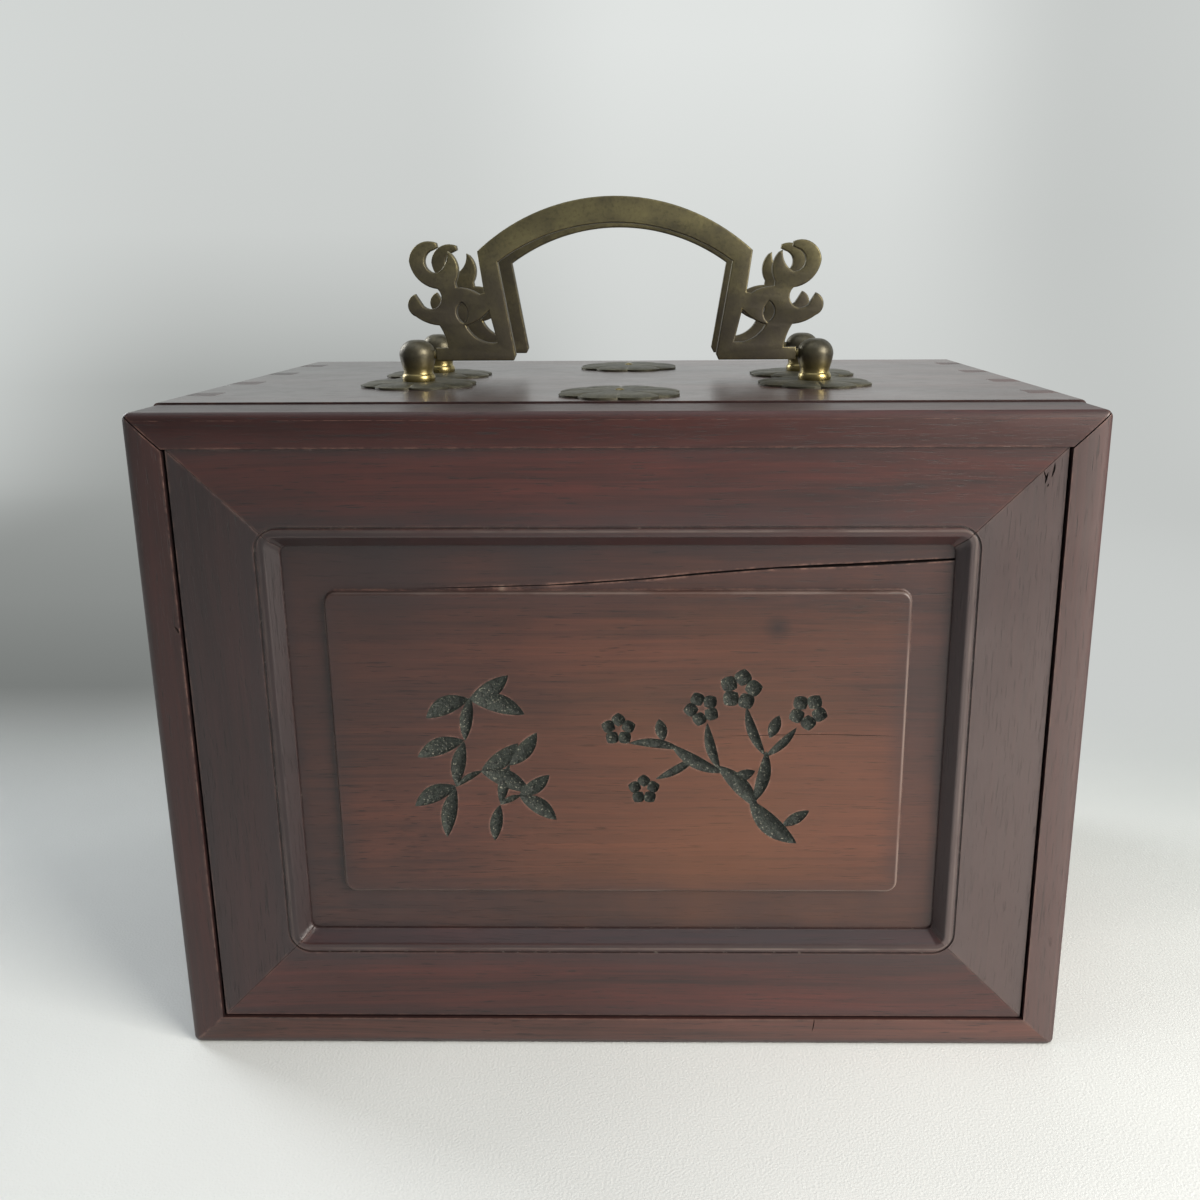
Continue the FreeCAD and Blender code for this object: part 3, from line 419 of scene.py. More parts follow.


# %% [markdown]
# ## Painted shade and sheen
#
# A window stands to the right of the case. The wood is painted darker towards the left, as shade,
# and a pale painted sheen, the window's light in the polish, lies over it towards the right.
# Towards the floor the front is painted lighter and greyer, partly dust and partly painted sheen.
# The group gives both as numbers, and only faces that look forward get the sheen.

# %% The weather group
net, given, end = new_group("shade and haze", {}, {"Shade": NUMBER, "Haze": NUMBER})
coordinates = net.add("ShaderNodeTexCoord").outputs
x, _, z = net.xyz(coordinates["Object"])
cloud = net.times(net.minus(net.noise(coordinates["Object"], 28.0, 3.0, 0.6), 0.5), 0.5)
# Painted light: lighter towards the right and towards the bottom, with some noise
across = net.share(x, -0.12, 0.12, "LINEAR")
down = net.share(z, 0.0, 0.176, "LINEAR", (1.0, 0.0))
lit = net.times(net.plus(net.plus(across, net.times(down, 0.35)), cloud), 0.75)
shade = net.ramp(lit, (0.0, 0.40), (0.42, 0.80), (0.8, 1.0))
haze = net.ramp(lit, (0.30, 0.0), (0.90, 1.0))
facing = net.xyz(coordinates["Normal"])["Y"]
forward = net.ramp(net.times(facing, -1.0), (0.75, 0.0), (0.97, 1.0))
net.feed(end, Shade=shade, Haze=net.times(haze, forward))
painted_shade_and_sheen = net.tree

# %% [markdown]
# ## One polished wood, many boards
#
# `rosewood` makes a material for one board: it turns the grain along X, Y or Z, moves to
# another place in the log, and lays a thin old polish over the wood as a coat.

# %% The wood materials
TURNS = {"x": (0, 0, 0), "y": (0, 0, -math.pi / 2), "z": (0, math.pi / 2, 0)}
# A painted shade; pale arrises, partly wear and partly a painted highlight; and a painted highlight
PAINTED_SHADE, RUB_AND_HIGHLIGHT, PAINTED_HIGHLIGHT = rgb(47, 34, 36), rgb(152, 114, 100), rgb(160, 143, 133)
# A pale painted sheen; dust; and the dust that settles in the panel's corners
PAINTED_SHEEN, DUST, SETTLED = rgb(114, 100, 97), rgb(158, 148, 138), rgb(96, 82, 78)


def rosewood(name, along, place, light, dark, bands=0.75, rough=0.43, coat=(0.3, 0.4), fibre=0.4,
             patches=(), shade_bands=(), haze=0.0, rub=0.35, dust=0.0, corners=PAINTED_SHADE, crests=()):
    """A polished board: grain along an axis, cut from one place in the log.

    The patches are (centre, radius, colour, strength) spots of another colour, such as a knot.
    Bands of painted shade beside a frame line are (half width, half height, where it starts,
    where it is full, strength). Lines of painted highlight are (half width, half height, corner,
    how far out, reach, strength). Three strengths say how strong the painted sheen is, how pale
    the arrises get, partly wear and partly a painted highlight, and how dusty the corners may get;
    the corners colour is what is painted into the corners, by default a painted shade.
    """
    material, net, shader = new_material(name)
    where = net.here()
    grain = net.stretch(where, (1, 1, 1), place, TURNS[along])
    wood = net.group(rosewood_grain, Grain=grain, Light=light, Dark=dark, Bands=bands, Pores=0.8)
    wear = net.group(wear_and_corner_shade, Reach=0.0012, Break_Up=300.0)
    painted_light = net.group(painted_shade_and_sheen)
    cloud = net.noise(where, 45.0, 3.0, 0.6)
    colour = wood["Color"]
    for centre, radius, tint, strength in patches:
        away = net.plus(net.measure("DISTANCE", where, centre), net.times(cloud, radius * 0.6))
        patch = net.ramp(net.math("DIVIDE", away, radius * 1.3), (0.3, 1.0), (1.0, 0.0))
        colour = net.mix(net.times(patch, strength), colour, tint)
    # Corners found by ambient occlusion take the corners colour: by default a painted shade, on the panel
    # boards a dusty colour
    colour = net.mix(net.times(wear["Corner"], 0.85), colour, corners)
    shade_share = 0.0
    # Bands of painted shade beside the frame lines
    for half_width, half_height, begins, full, strength in shade_bands:
        band = net.share(beyond(net, half_width, half_height), begins * MM, full * MM)
        patchy = net.ramp(cloud, (0.3, strength * 0.55), (0.65, strength))
        shade_share = net.larger(shade_share, net.times(band, patchy))
    colour = net.mix(shade_share, colour, PAINTED_SHADE)
    specks = net.ramp(net.noise(where, 650.0, 3.0, 0.7), (0.60, 0.0), (0.70, 1.0))
    colour = net.mix(net.times(specks, net.times(wear["Corner"], dust)), colour, DUST)
    # Lines of painted highlight, brighter where the painted light is brighter
    for half_width, half_height, corner, out, reach, strength in crests:
        off = net.math("ABSOLUTE", net.minus(beyond(net, half_width, half_height, corner), out * MM))
        patchy = net.ramp(cloud, (0.38, strength * 0.3), (0.58, strength))
        crest = net.times(net.times(net.share(off, reach * MM, 0.0), patchy),
                          net.math("POWER", painted_light["Shade"], 2.5))
        colour = net.mix(crest, colour, PAINTED_HIGHLIGHT)
    # A pale painted sheen on forward faces, then painted shade, darker towards the left
    colour = net.mix(net.times(painted_light["Haze"], haze), colour, PAINTED_SHEEN)
    colour = net.mix(1.0, colour, painted_light["Shade"], "MULTIPLY")
    # Pale arrises: partly wear, partly a painted highlight
    colour = net.mix(net.times(wear["Rubbed"], rub), colour, RUB_AND_HIGHLIGHT)
    gloss = net.minus(net.plus(net.times(cloud, 0.2), rough - 0.1), net.times(wear["Rubbed"], 0.15))
    gloss = net.plus(gloss, net.times(wood["Pore Mask"], 0.2), True)
    net.feed(shader, Base_Color=colour, Roughness=gloss, Normal=net.bump(wood["Height"], fibre, 0.00014),
             Coat_Weight=coat[0], Coat_Roughness=coat[1])
    return material


FRAME = rgb(82, 36, 30), rgb(34, 16, 15)
PANEL = rgb(98, 40, 31), rgb(36, 17, 16)
STILE = rgb(66, 38, 37), rgb(36, 21, 22)
FIELD = rgb(107, 58, 41), rgb(42, 22, 19)
LID = rgb(76, 38, 31), rgb(36, 18, 16)
DRAWER = rgb(150, 104, 70), rgb(104, 64, 42)

# Along which axis each board's grain runs, and its light and dark colours
BOARDS = {
    "top_board": ("x", LID), "bottom_board": ("x", FRAME), "left_side": ("z", FRAME),
    "right_side": ("z", FRAME), "back_panel": ("x", FRAME), "stile_left": ("z", FRAME),
    "stile_right": ("z", FRAME), "bottom_rail": ("x", (rgb(116, 68, 56), rgb(54, 33, 28))),
    "top_rail": ("x", (rgb(72, 29, 24), rgb(24, 12, 11))), "panel_rail_top": ("x", PANEL),
    "panel_rail_bottom": ("x", PANEL), "panel_stile_left": ("z", STILE), "panel_stile_right": ("z", STILE),
}
for level in range(1, 5):
    BOARDS[f"shelf_{level}"] = ("x", DRAWER)
for level in range(1, 6):
    BOARDS[f"drawer_{level}_front"] = ("x", LID)
    for part, along in (("back", "x"), ("bottom", "x"), ("left", "y"), ("right", "y")):
        BOARDS[f"drawer_{level}_{part}"] = (along, DRAWER)

# Painted shade beside the moulding and along the panel's outer edge
MOULDING_SHADE = (90.4, 59.05, 8.0, 0.5, 0.8)
PANEL_EDGE_SHADE = (110.5, 79.15, -5.0, -0.5, 0.55)
# A painted highlight along the crest of the bead
BEAD_HIGHLIGHT = (89.4, 58.05, 3.4, 0.25, 0.5, 0.45)
woods = {}
for count, (board, (along, colours)) in enumerate(BOARDS.items()):
    place = (0.37 * count % 3, 0.213 * count % 2, 0.171 * count % 2)
    finish = {"coat": (0.0, 0.4), "rough": 0.55} if colours == DRAWER else {}
    if board == "top_board":
        finish = {"coat": (0.6, 0.25), "rough": 0.38, "fibre": 0.25}
    # The rails take a little painted sheen
    if board in ("bottom_rail", "top_rail"):
        finish = {"haze": 0.16}
    # The panel boards get painted shade beside the moulding and at their edges, a painted highlight on the
    # bead, painted sheen, and dust settled in the corners
    if board.startswith("panel_"):
        finish = {"shade_bands": [MOULDING_SHADE, PANEL_EDGE_SHADE], "coat": (0.35, 0.3), "haze": 0.13, "rub": 0.3,
                  "bands": 0.9, "dust": 0.8, "corners": SETTLED, "crests": [BEAD_HIGHLIGHT]}
    # The stiles take the strongest painted sheen
    if "stile" in board:
        finish |= {"fibre": 0.9, "rough": 0.48, "haze": 0.5, "bands": 0.75}
    if board == "stile_left":
        finish["rub"] = 0.5
    if board in ("stile_left", "stile_right"):
        finish["haze"] = 0.42
    woods[board] = rosewood(f"wood_{board}", along, place, *colours, **finish)

# %% [markdown]
# ## Softened boards
#
# A sanding block takes the sharp arris off every board, and that thin rounded line catches the
# light and shows the joints. A copy of each solid is merged into clean faces and gets a narrow
# Bevel. The solid itself stays for the physics.


# %% Soften and dress every board
def softened(node, material, width):
    """A copy of a solid with small round arrises, standing for it."""
    piece = tidy_mesh(new_object(f"{node}_wood", nodes[node].data.copy()))
    with editing(piece):
        bpy.ops.mesh.dissolve_limited(angle_limit=math.radians(0.5))
    adjust(piece.modifiers.new("arris", "BEVEL"), width=width, segments=2, limit_method="ANGLE",
           angle_limit=math.radians(25), miter_outer="MITER_ARC")
    apply_modifiers(piece)
    return stands_for(piece, node, material, 30)


NARROW, WIDE = 0.22 * MM, 0.35 * MM
pieces = {}
for board, material in woods.items():
    fine = board.startswith(("drawer", "shelf", "panel_"))
    pieces[board] = softened(board, material, NARROW if fine else WIDE)

# %% [markdown]
# ## A rounded frame
#
# The four boards round the panel were planed round towards their outer edges, so a bright line
# of light runs down each. The front is cut into strips with Bisect, and the strips' corners are
# moved back towards the outside. All four follow the same curve, so their mitres still meet.


# %% Round the frame boards
FALL, ROUND_DEPTH = 1.15 * MM, 2.2 * MM


def round_front(piece, inner, outer, axis):
    """Let a board's front fall back from its inner to its outer edge; axis is 0 for X, 2 for Z."""
    across = Vector([1.0 if i == axis else 0.0 for i in range(3)])
    with editing(piece):
        for share in (0.25, 0.45, 0.62, 0.77, 0.9):
            bpy.ops.mesh.select_all(action="SELECT")
            bpy.ops.mesh.bisect(plane_co=across * (inner + share * (outer - inner)), plane_no=across)
    front = min(corner.co.y for corner in piece.data.vertices)
    for corner in piece.data.vertices:
        share = min(1.0, max(0.0, (corner.co[axis] - inner) / (outer - inner)))
        near = min(1.0, max(0.0, (front + ROUND_DEPTH - corner.co.y) / ROUND_DEPTH))
        corner.co.y += FALL * share**2.2 * near
    smooth(piece, 30)


case_low, case_high = cad_box
hole_side, hole_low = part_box("stile_right")[0].x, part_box("bottom_rail")[1].z
hole_high, lid_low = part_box("top_rail")[0].z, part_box("top_rail")[1].z
round_front(pieces["stile_right"], hole_side, case_high[0], 0)
round_front(pieces["stile_left"], -hole_side, case_low[0], 0)
round_front(pieces["bottom_rail"], hole_low, case_low[2], 2)
round_front(pieces["top_rail"], hole_high, lid_low, 2)

# %% [markdown]
# ## A filled quirk
#
# A quirk, a fine groove, runs round the bead of the moulding. Polish and dirt have filled it,
# so every corner of the mesh that lies in the groove is raised to a share of its depth.

# %% Raise the bottom of the quirk
PANEL_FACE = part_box("panel_stile_right")[0].y
QUIRK_HALF, QUIRK_RISE, QUIRK_CORNER = 91.5 * MM, 60.15 * MM, 5.5 * MM
LEFT_DEEP = 0.3
raised = 0
for board in ("panel_rail_top", "panel_rail_bottom", "panel_stile_left", "panel_stile_right"):
    for corner in pieces[board].data.vertices:
        side_way = abs(corner.co.x) - QUIRK_HALF + QUIRK_CORNER
        top_way = abs(corner.co.z - PANEL_MIDDLE) - QUIRK_RISE + QUIRK_CORNER
        away = math.hypot(max(side_way, 0), max(top_way, 0)) + min(max(side_way, top_way), 0) - QUIRK_CORNER
        deep = corner.co.y - PANEL_FACE
        if -0.3 * MM < away < 0.8 * MM and 0 < deep < 0.6 * MM:
            corner.co.y = PANEL_FACE + LEFT_DEEP * deep
            raised += 1
print("corners raised in the quirk:", raised)

# %% [markdown]
# ## The carved board
#
# The field is one wide board whose middle stands up as a tablet. A carver's gouge leaves
# pointed hollows, so the gouge is modelled once: an arc spun round its long axis, one unit
# long and one wide. A Boolean takes all its copies out of the wood in one cut.


# %% The gouge
ARC = 12
gouge = spun("gouge", [(0.5 - i / ARC, 0, 0.5 * math.sin(math.pi * i / ARC) ** 0.8) for i in range(ARC + 1)],
             (1, 0, 0), 16, 1e-4)


def gouge_cut(start, end, width, depth, bow, face, material):
    """A copy of the gouge between two places (x, z) in mm on an upright face; bow bends it."""
    cut = new_object("cut", gouge.data.copy())
    (x0, z0), (x1, z1) = start, end
    length, angle = math.hypot(x1 - x0, z1 - z0), math.atan2(z1 - z0, x1 - x0)
    for corner in cut.data.vertices:
        along, across = corner.co.x, corner.co.z
        corner.co = Vector((along * length, corner.co.y * 2 * depth,
                            across * width + bow * (0.25 - along * along) * 4))
    cut.data.transform(Matrix.Rotation(-angle, 4, "Y"))
    cut.data.transform(Matrix.Translation(((x0 + x1) / 2, 0, (z0 + z1) / 2)))
    cut.data.transform(Matrix.Scale(MM, 4))
    cut.data.transform(Matrix.Translation((0, face, 0)))
    return dress(cut, material)


# %% [markdown]
# The motif is a bamboo sprig on the left and a plum spray on the right. Both are made of short
# strokes, each a start, an end, a width, a depth and a bow, in millimetres on the tablet.

# %% Lay out the carving
BAMBOO = [
    ((-46.4, 62.5), (-43.4, 77.0), 4.2, 1.3, 0.6), ((-43.2, 77.2), (-40.6, 90.2), 3.9, 1.3, 0.5),
    ((-40.4, 90.2), (-38.4, 102.5), 3.4, 1.2, 0.4),
    ((-33.6, 61.5), (-31.8, 72.0), 3.4, 1.2, 0.3), ((-31.6, 72.0), (-29.0, 83.6), 3.1, 1.1, 0.3),
    ((-43.2, 77.2), (-36.0, 81.8), 1.8, 0.9, 0.5), ((-31.8, 72.0), (-26.0, 74.8), 1.7, 0.9, 0.3),
    ((-36.8, 81.8), (-23.6, 75.6), 5.0, 1.4, 0.9), ((-36.6, 81.6), (-26.4, 89.6), 4.6, 1.3, -0.8),
    ((-38.8, 101.8), (-24.4, 97.6), 5.2, 1.4, 1.1), ((-39.0, 101.4), (-28.4, 108.4), 4.6, 1.3, -0.7),
    ((-38.8, 102.0), (-50.4, 96.6), 5.0, 1.4, -1.0), ((-40.6, 90.4), (-53.2, 85.6), 4.8, 1.3, -0.8),
    ((-43.2, 77.4), (-54.6, 71.6), 4.8, 1.3, -0.8), ((-26.6, 74.6), (-16.8, 67.6), 4.6, 1.3, 0.7),
    ((-26.6, 74.8), (-18.4, 80.6), 3.9, 1.2, -0.5), ((-29.2, 83.2), (-21.4, 92.6), 4.2, 1.3, -0.6),
]
BRANCH = [
    ((47.5, 60.8), (34.6, 73.6), 5.6, 1.6, 1.3), ((36.8, 71.0), (25.8, 83.4), 4.6, 1.5, -0.9),
    ((27.8, 81.2), (13.6, 89.4), 3.6, 1.3, 1.1), ((16.6, 87.8), (2.6, 89.6), 2.6, 1.1, -0.9),
    ((35.4, 72.4), (38.8, 87.6), 3.6, 1.3, -1.1), ((38.6, 86.0), (33.4, 99.8), 2.8, 1.1, 0.9),
    ((38.4, 85.8), (46.6, 94.0), 2.4, 1.0, -0.6), ((26.8, 81.6), (23.2, 95.4), 2.8, 1.1, 0.8),
    ((20.8, 86.2), (9.6, 79.4), 2.4, 1.0, 0.6),
]
BLOSSOMS = [((31.8, 104.4), 5.7), ((49.4, 98.4), 5.2), ((21.8, 99.2), 4.8), ((0.0, 93.4), 4.6),
            ((6.6, 76.4), 4.3)]
BUDS = [((39.6, 91.0), (42.0, 97.4)), ((11.8, 90.2), (10.6, 96.4)), ((43.4, 65.8), (50.6, 70.4)),
        ((29.6, 79.0), (36.0, 81.8))]


def petal_strokes(centre, size):
    """Five round petals set round a centre, left a little apart."""
    for petal in range(5):
        angle = math.radians(90 + 72 * petal + 11 * centre[0])
        way = (math.cos(angle), math.sin(angle))
        inner, outer = (tuple(c + reach * size * w for c, w in zip(centre, way)) for reach in (0.18, 1.02))
        yield inner, outer, 0.8 * size, 1.2, 0.0


strokes = BAMBOO + BRANCH + [(start, end, 3.2, 1.1, 0.0) for start, end in BUDS]
for centre, size in BLOSSOMS:
    strokes += petal_strokes(centre, size)

# %% [markdown]
# Wide boards shrink as they dry, and this one has split near its top. The split is one more
# set of cuts: very long, thin and deep gouge marks that follow each other.

# %% The split
SPLIT = [((100.0, 139.6), (34.0, 136.2), 0.85, 3.2, 0.3), ((58.0, 137.6), (0.0, 133.0), 0.55, 2.8, -0.3),
         ((22.0, 134.8), (-24.0, 131.7), 0.42, 2.2, 0.2), ((-6.0, 132.4), (-52.0, 131.2), 0.3, 1.4, 0.1)]
HAIRLINE = [((27.0, 91.6), (56.0, 92.2), 0.16, 0.5, 0.0), ((48.0, 92.1), (74.0, 91.5), 0.14, 0.4, 0.1)]

# %% [markdown]
# The paint in the carving is a dark green-black that has crackled and gone chalky in places,
# so it is a matt surface with pale flecks. The split shows raw dark wood.


# %% Paint, raw wood and the field's own wood
def carving_paint():
    material, net, shader = new_material("carving_paint")
    where = net.here()
    cloud = net.noise(where, 620.0, 4.0, 0.75)
    flecks = net.ramp(net.noise(where, 1700.0, 2.0, 0.6), (0.60, 0.0), (0.70, 1.0))
    colour = net.ramp(cloud, (0.35, rgb(22, 26, 23)), (0.65, rgb(54, 60, 53)))
    colour = net.mix(net.times(flecks, 0.7), colour, rgb(150, 148, 132))
    net.feed(shader, Base_Color=colour, Roughness=0.5, Normal=net.bump(cloud, 1.0, 0.001))
    return material


def raw_wood():
    material, net, shader = new_material("raw_split_wood")
    fibres = net.streaks(net.here(), (60, 900, 900), 3.0)
    colour = net.ramp(fibres, (0.3, rgb(14, 8, 7)), (0.8, rgb(40, 22, 17)))
    net.feed(shader, Base_Color=colour, Roughness=0.85)
    return material


# On the field the pale arrises are strong, partly a painted highlight on the tablet's edges
field_wood = rosewood(
    "wood_panel_field", "x", (1.31, 0.42, 0.77), *FIELD, bands=0.7,
    patches=[((0.030, TABLET_FACE, 0.062), 0.078, rgb(124, 76, 40), 0.42),
             ((-0.060, TABLET_FACE, 0.122), 0.040, rgb(56, 31, 28), 0.6),
             ((-0.020, FIELD_FACE, 0.1400), 0.016, rgb(44, 33, 34), 0.6),
             ((-0.060, FIELD_FACE, 0.1400), 0.022, rgb(44, 33, 34), 0.7),
             ((0.0411, TABLET_FACE, 0.1211), 0.0042, rgb(34, 18, 15), 0.85),
             ((-0.0294, FIELD_FACE, 0.1312), 0.0011, rgb(196, 178, 158), 0.95)],
    # Painted shade round the tablet and along the inside of the moulding
    shade_bands=[(75.0, 42.2, -7.0, 1.0, 0.55), (85.4, 54.05, -7.0, 0.0, 0.85)], haze=0.1, rub=0.85, dust=0.5,
    # A painted highlight along the tablet's edge
    crests=[(75.0, 42.2, 3.0, -0.3, 0.6, 0.6)])
paint, split_wood = carving_paint(), raw_wood()


# %% Carve the field
def carve(board, tools):
    """Take joined cutters out of a board, and keep its flat front flat in the light.

    The Boolean keeps each cutter's material on the faces it leaves.
    """
    for tool in tools:
        adjust(board.modifiers.new("carve", "BOOLEAN"), operation="DIFFERENCE", object=tool,
               solver="EXACT", use_self=True, material_mode="TRANSFER")
    apply_modifiers(board)
    for tool in tools:
        bpy.data.objects.remove(tool)
    smooth(board, 30)
    for face in board.data.polygons:
        if face.normal.y < -0.9999:
            face.use_smooth = False


carving = [gouge_cut(*stroke, TABLET_FACE, paint) for stroke in strokes]
splits = [gouge_cut(*stroke, FIELD_FACE, split_wood) for stroke in SPLIT]
splits += [gouge_cut(*stroke, TABLET_FACE, split_wood) for stroke in HAIRLINE]
field = softened("panel_field", field_wood, 0.3 * MM)
carve(field, [joined(carving, "carving_tool"), joined(splits, "split_tool")])
print("carved field faces:", len(field.data.polygons), "materials:", [m.name for m in field.data.materials])

# %% [markdown]
# ## Knocks from use
#
# An old case has a few knocks that belong to it. Nicks near the panel's top corner, a small
# split across the bottom rail and a bruise on the left stile are cut with the same gouge.

# %% Cut the nicks
FRAME_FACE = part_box("bottom_rail")[0].y
KNOCKS = {
    "panel_stile_right": (PANEL_FACE, [
        ((107.2, 163.8), (106.6, 160.0), 0.5, 0.5, 0.2), ((105.8, 161.4), (105.2, 158.4), 0.5, 0.5, -0.1),
        ((104.6, 161.8), (105.3, 159.2), 0.35, 0.4, 0.1), ((106.0, 158.6), (105.9, 157.6), 0.3, 0.3, 0.0)]),
    "bottom_rail": (FRAME_FACE, [((53.6, 9.6), (53.0, 4.4), 0.25, 0.7, 0.1)]),
    "stile_left": (FRAME_FACE, [((-112.6, 122.6), (-111.6, 120.6), 0.7, 0.5, 0.1)]),
}
for board, (face, marks) in KNOCKS.items():
    cuts = [gouge_cut(*mark, face, split_wood) for mark in marks]
    carve(pieces[board], [joined(cuts, "knock_tool")])
bpy.data.objects.remove(gouge)

# %% [markdown]
# ## Even shading
#
# A broad face shares its corner normals with the thin faces of its rounded arris, and a normal
# that leans sideways draws grey fans over flat wood. With the Weighted Normal modifier the
# larger face decides. It comes after the last cut, because a cut changes the corners.

# %% Let the broad faces decide the normals
for piece in pieces.values():
    adjust(piece.modifiers.new("even_shading", "WEIGHTED_NORMAL"), mode="FACE_AREA", weight=90,
           keep_sharp=True)
    apply_modifiers(piece)

# %% [markdown]
# ## Old brass
#
# Cast brass goes brown and olive as it ages, and stays gold where hands and moving parts rub
# it. Noise mixes two browns, and the wear group brings back the bright, smoother metal.


# %% The brass materials
def old_brass(name, dark, warm, bright, rubbed, rough, gold_below=None, brown_below=None):
    """Patinated brass; below the height gold_below, in metres, it is painted bright gold, a painted
    reflection, and is smoother and more metallic there.

    Below brown_below it keeps a darker brown skin, as where no hand reaches.
    The patina is dull and less metallic than the metal under it.
    """
    material, net, shader = new_material(name)
    where = net.here()
    height = net.xyz(where)["Z"]
    cloud = net.noise(where, 90.0, 4.0, 0.65)
    speck = net.noise(where, 900.0, 3.0, 0.6)
    colour = net.mix(net.ramp(cloud, (0.35, 0.0), (0.68, 1.0)), dark, warm)
    colour = net.mix(net.times(net.ramp(speck, (0.5, 0.0), (0.75, 1.0)), 0.5), colour, rgb(40, 36, 26))
    if brown_below is not None:
        low = net.share(height, brown_below - 16 * MM, brown_below + 8 * MM, "LINEAR", (1.0, 0.0))
        colour = net.mix(net.times(low, net.ramp(cloud, (0.3, 0.9), (0.7, 0.5))), colour, rgb(74, 68, 60))
    wear = net.group(wear_and_corner_shade, Reach=0.0009, Break_Up=420.0)
    shine = net.times(wear["Rubbed"], rubbed)
    # Below that height the brass is painted bright gold: a painted reflection at the post's waist
    if gold_below is not None:
        low = net.share(height, gold_below, gold_below + 6 * MM, ends=(1.0, 0.0))
        shine = net.larger(shine, net.times(low, net.ramp(cloud, (0.3, 0.35), (0.6, 1.0))))
    gloss = net.plus(net.times(speck, 0.22), rough - 0.1)
    net.feed(shader, Base_Color=net.mix(shine, colour, bright),
             Roughness=net.minus(gloss, net.times(shine, 0.14), True),
             Metallic=net.plus(net.times(shine, 0.3), 0.68, True), Normal=net.bump(speck, 0.25, 0.00015))
    return material


BRIGHT = rgb(172, 157, 106)
bail_brass = old_brass("bail_brass", rgb(86, 81, 62), rgb(118, 111, 78), BRIGHT, 0.75, 0.48,
                       brown_below=PIVOT + 30 * MM)
# The posts are painted bright gold low down: a painted reflection at the waist
post_brass = old_brass("post_brass", rgb(74, 71, 61), rgb(100, 94, 74), rgb(158, 143, 94), 0.45, 0.4,
                       gold_below=BOARD_TOP + 2.6 * MM)
plate_brass = old_brass("plate_brass", rgb(74, 74, 64), rgb(100, 97, 82), rgb(160, 154, 124), 0.6, 0.5)
pull_brass = old_brass("pull_brass", rgb(96, 84, 52), rgb(140, 122, 74), BRIGHT, 0.8, 0.34)

# %% [markdown]
# ## The cast bails
#
# Each bail is a flat casting: an arch, two legs and, outside each leg, a pierced scroll like a
# curling cloud. A flat curve suits it, because one curve may hold an outer edge and holes, and
# its own bevel softens both. Arcs are given by three points, as a draughtsman would.

# %% Draw the outline of a bail
# A bail's rise, thickness and round edge, and the depth of its arch, in mm
RISE, THICK, EDGE, ARCH = 44.05, 3.2, 0.45, 7.3
SHOULDER, INNER_SHOULDER = (18.9, 29.05), (24.7, 26.05)


def arc_through(a, b, c, steps=10):
    """Points after a, along the circle through a, b and c, as far as c."""
    a, b, c = (complex(*point) for point in (a, b, c))
    slant = (c - a) / (b - a)
    centre = a + (b - a) * (slant - abs(slant) ** 2) / (2j * slant.imag)
    first, last = (cmath.phase(point - centre) for point in (a, c))
    turn = math.copysign(1, slant.imag)
    sweep = turn * ((turn * (last - first)) % (2 * math.pi))
    points = [centre + cmath.rect(abs(a - centre), first + sweep * i / steps) for i in range(1, steps + 1)]
    return [(point.real, point.imag) for point in points]


def trace(start, moves):
    """Follow straight moves (one point) and arcs (two points) from a start."""
    points = [start]
    for move in moves:
        points += [move[0]] if len(move) == 1 else arc_through(points[-1], *move)
    return points


# Distances inwards from the post's axis, and heights above the pin, in millimetres
SCROLL = trace(SHOULDER, [
    [(20.5, 17.5)], [(19.1, 17.1)], [(16.2, 18.5), (12.5, 19.1)], [(12.3, 20.4)],
    [(13.2, 24.8), (11.4, 28.5)], [(10.3, 29.1)], [(9.4, 25.3), (7.0, 23.1)], [(3.6, 26.4), (6.1, 29.5)],
    [(7.5, 30.2)], [(7.2, 31.5)], [(1.3, 30.7), (-0.9, 26.4)], [(1.1, 21.8), (7.0, 18.6)],
    [(7.2, 14.0), (2.6, 13.8)], [(0.4, 17.2)], [(-1.8, 14.6), (0.4, 10.8)],
    [(3.2, 9.2), (7.1, 8.3)], [(8.6, 5.2), (9.4, 1.85)], [(5.75, 1.85)], [(5.75, -1.85)],
    [(28.4, -1.85)], [(29.2, -0.25)], [INNER_SHOULDER]])
TEARDROP = trace((13.8, 14.9), [[(12.3, 12.4), (14.3, 8.9)], [(15.5, 12.0), (13.8, 14.9)]])
CORNER_HOLE = trace((21.7, 12.5), [[(18.6, 9.8), (14.9, 8.2)], [(18.4, 4.4), (23.0, 3.25)],
                                   [(23.9, 3.45)], [(21.7, 12.5)]])


def on_side(points, side):
    return [(side * (SPAN / MM - x), z) for x, z in points]


def bail_loops():
    """The outer edge, from the right scroll under the arch to the left and over, and four holes."""
    right, left = on_side(SCROLL, 1), on_side(SCROLL, -1)
    under = arc_through(right[-1], (0, RISE - ARCH), left[-1], 32)
    over = arc_through(left[0], (0, RISE), right[0], 36)
    outer = right + under[:-1] + left[::-1] + over[:-1]
    holes = [on_side(hole[:-1], side) for hole in (TEARDROP, CORNER_HOLE) for side in (1, -1)]
    return [outer] + holes


# %% [markdown]
# The curve lies flat in its own XY plane. Half of the thickness goes each way, less the round
# edge, and the finished casting is turned upright.


# %% Cast a bail
PIN_RADIUS, PIN_LENGTH = 1.3 * MM, 5.0 * MM
UPRIGHT = (math.pi / 2, 0, 0)


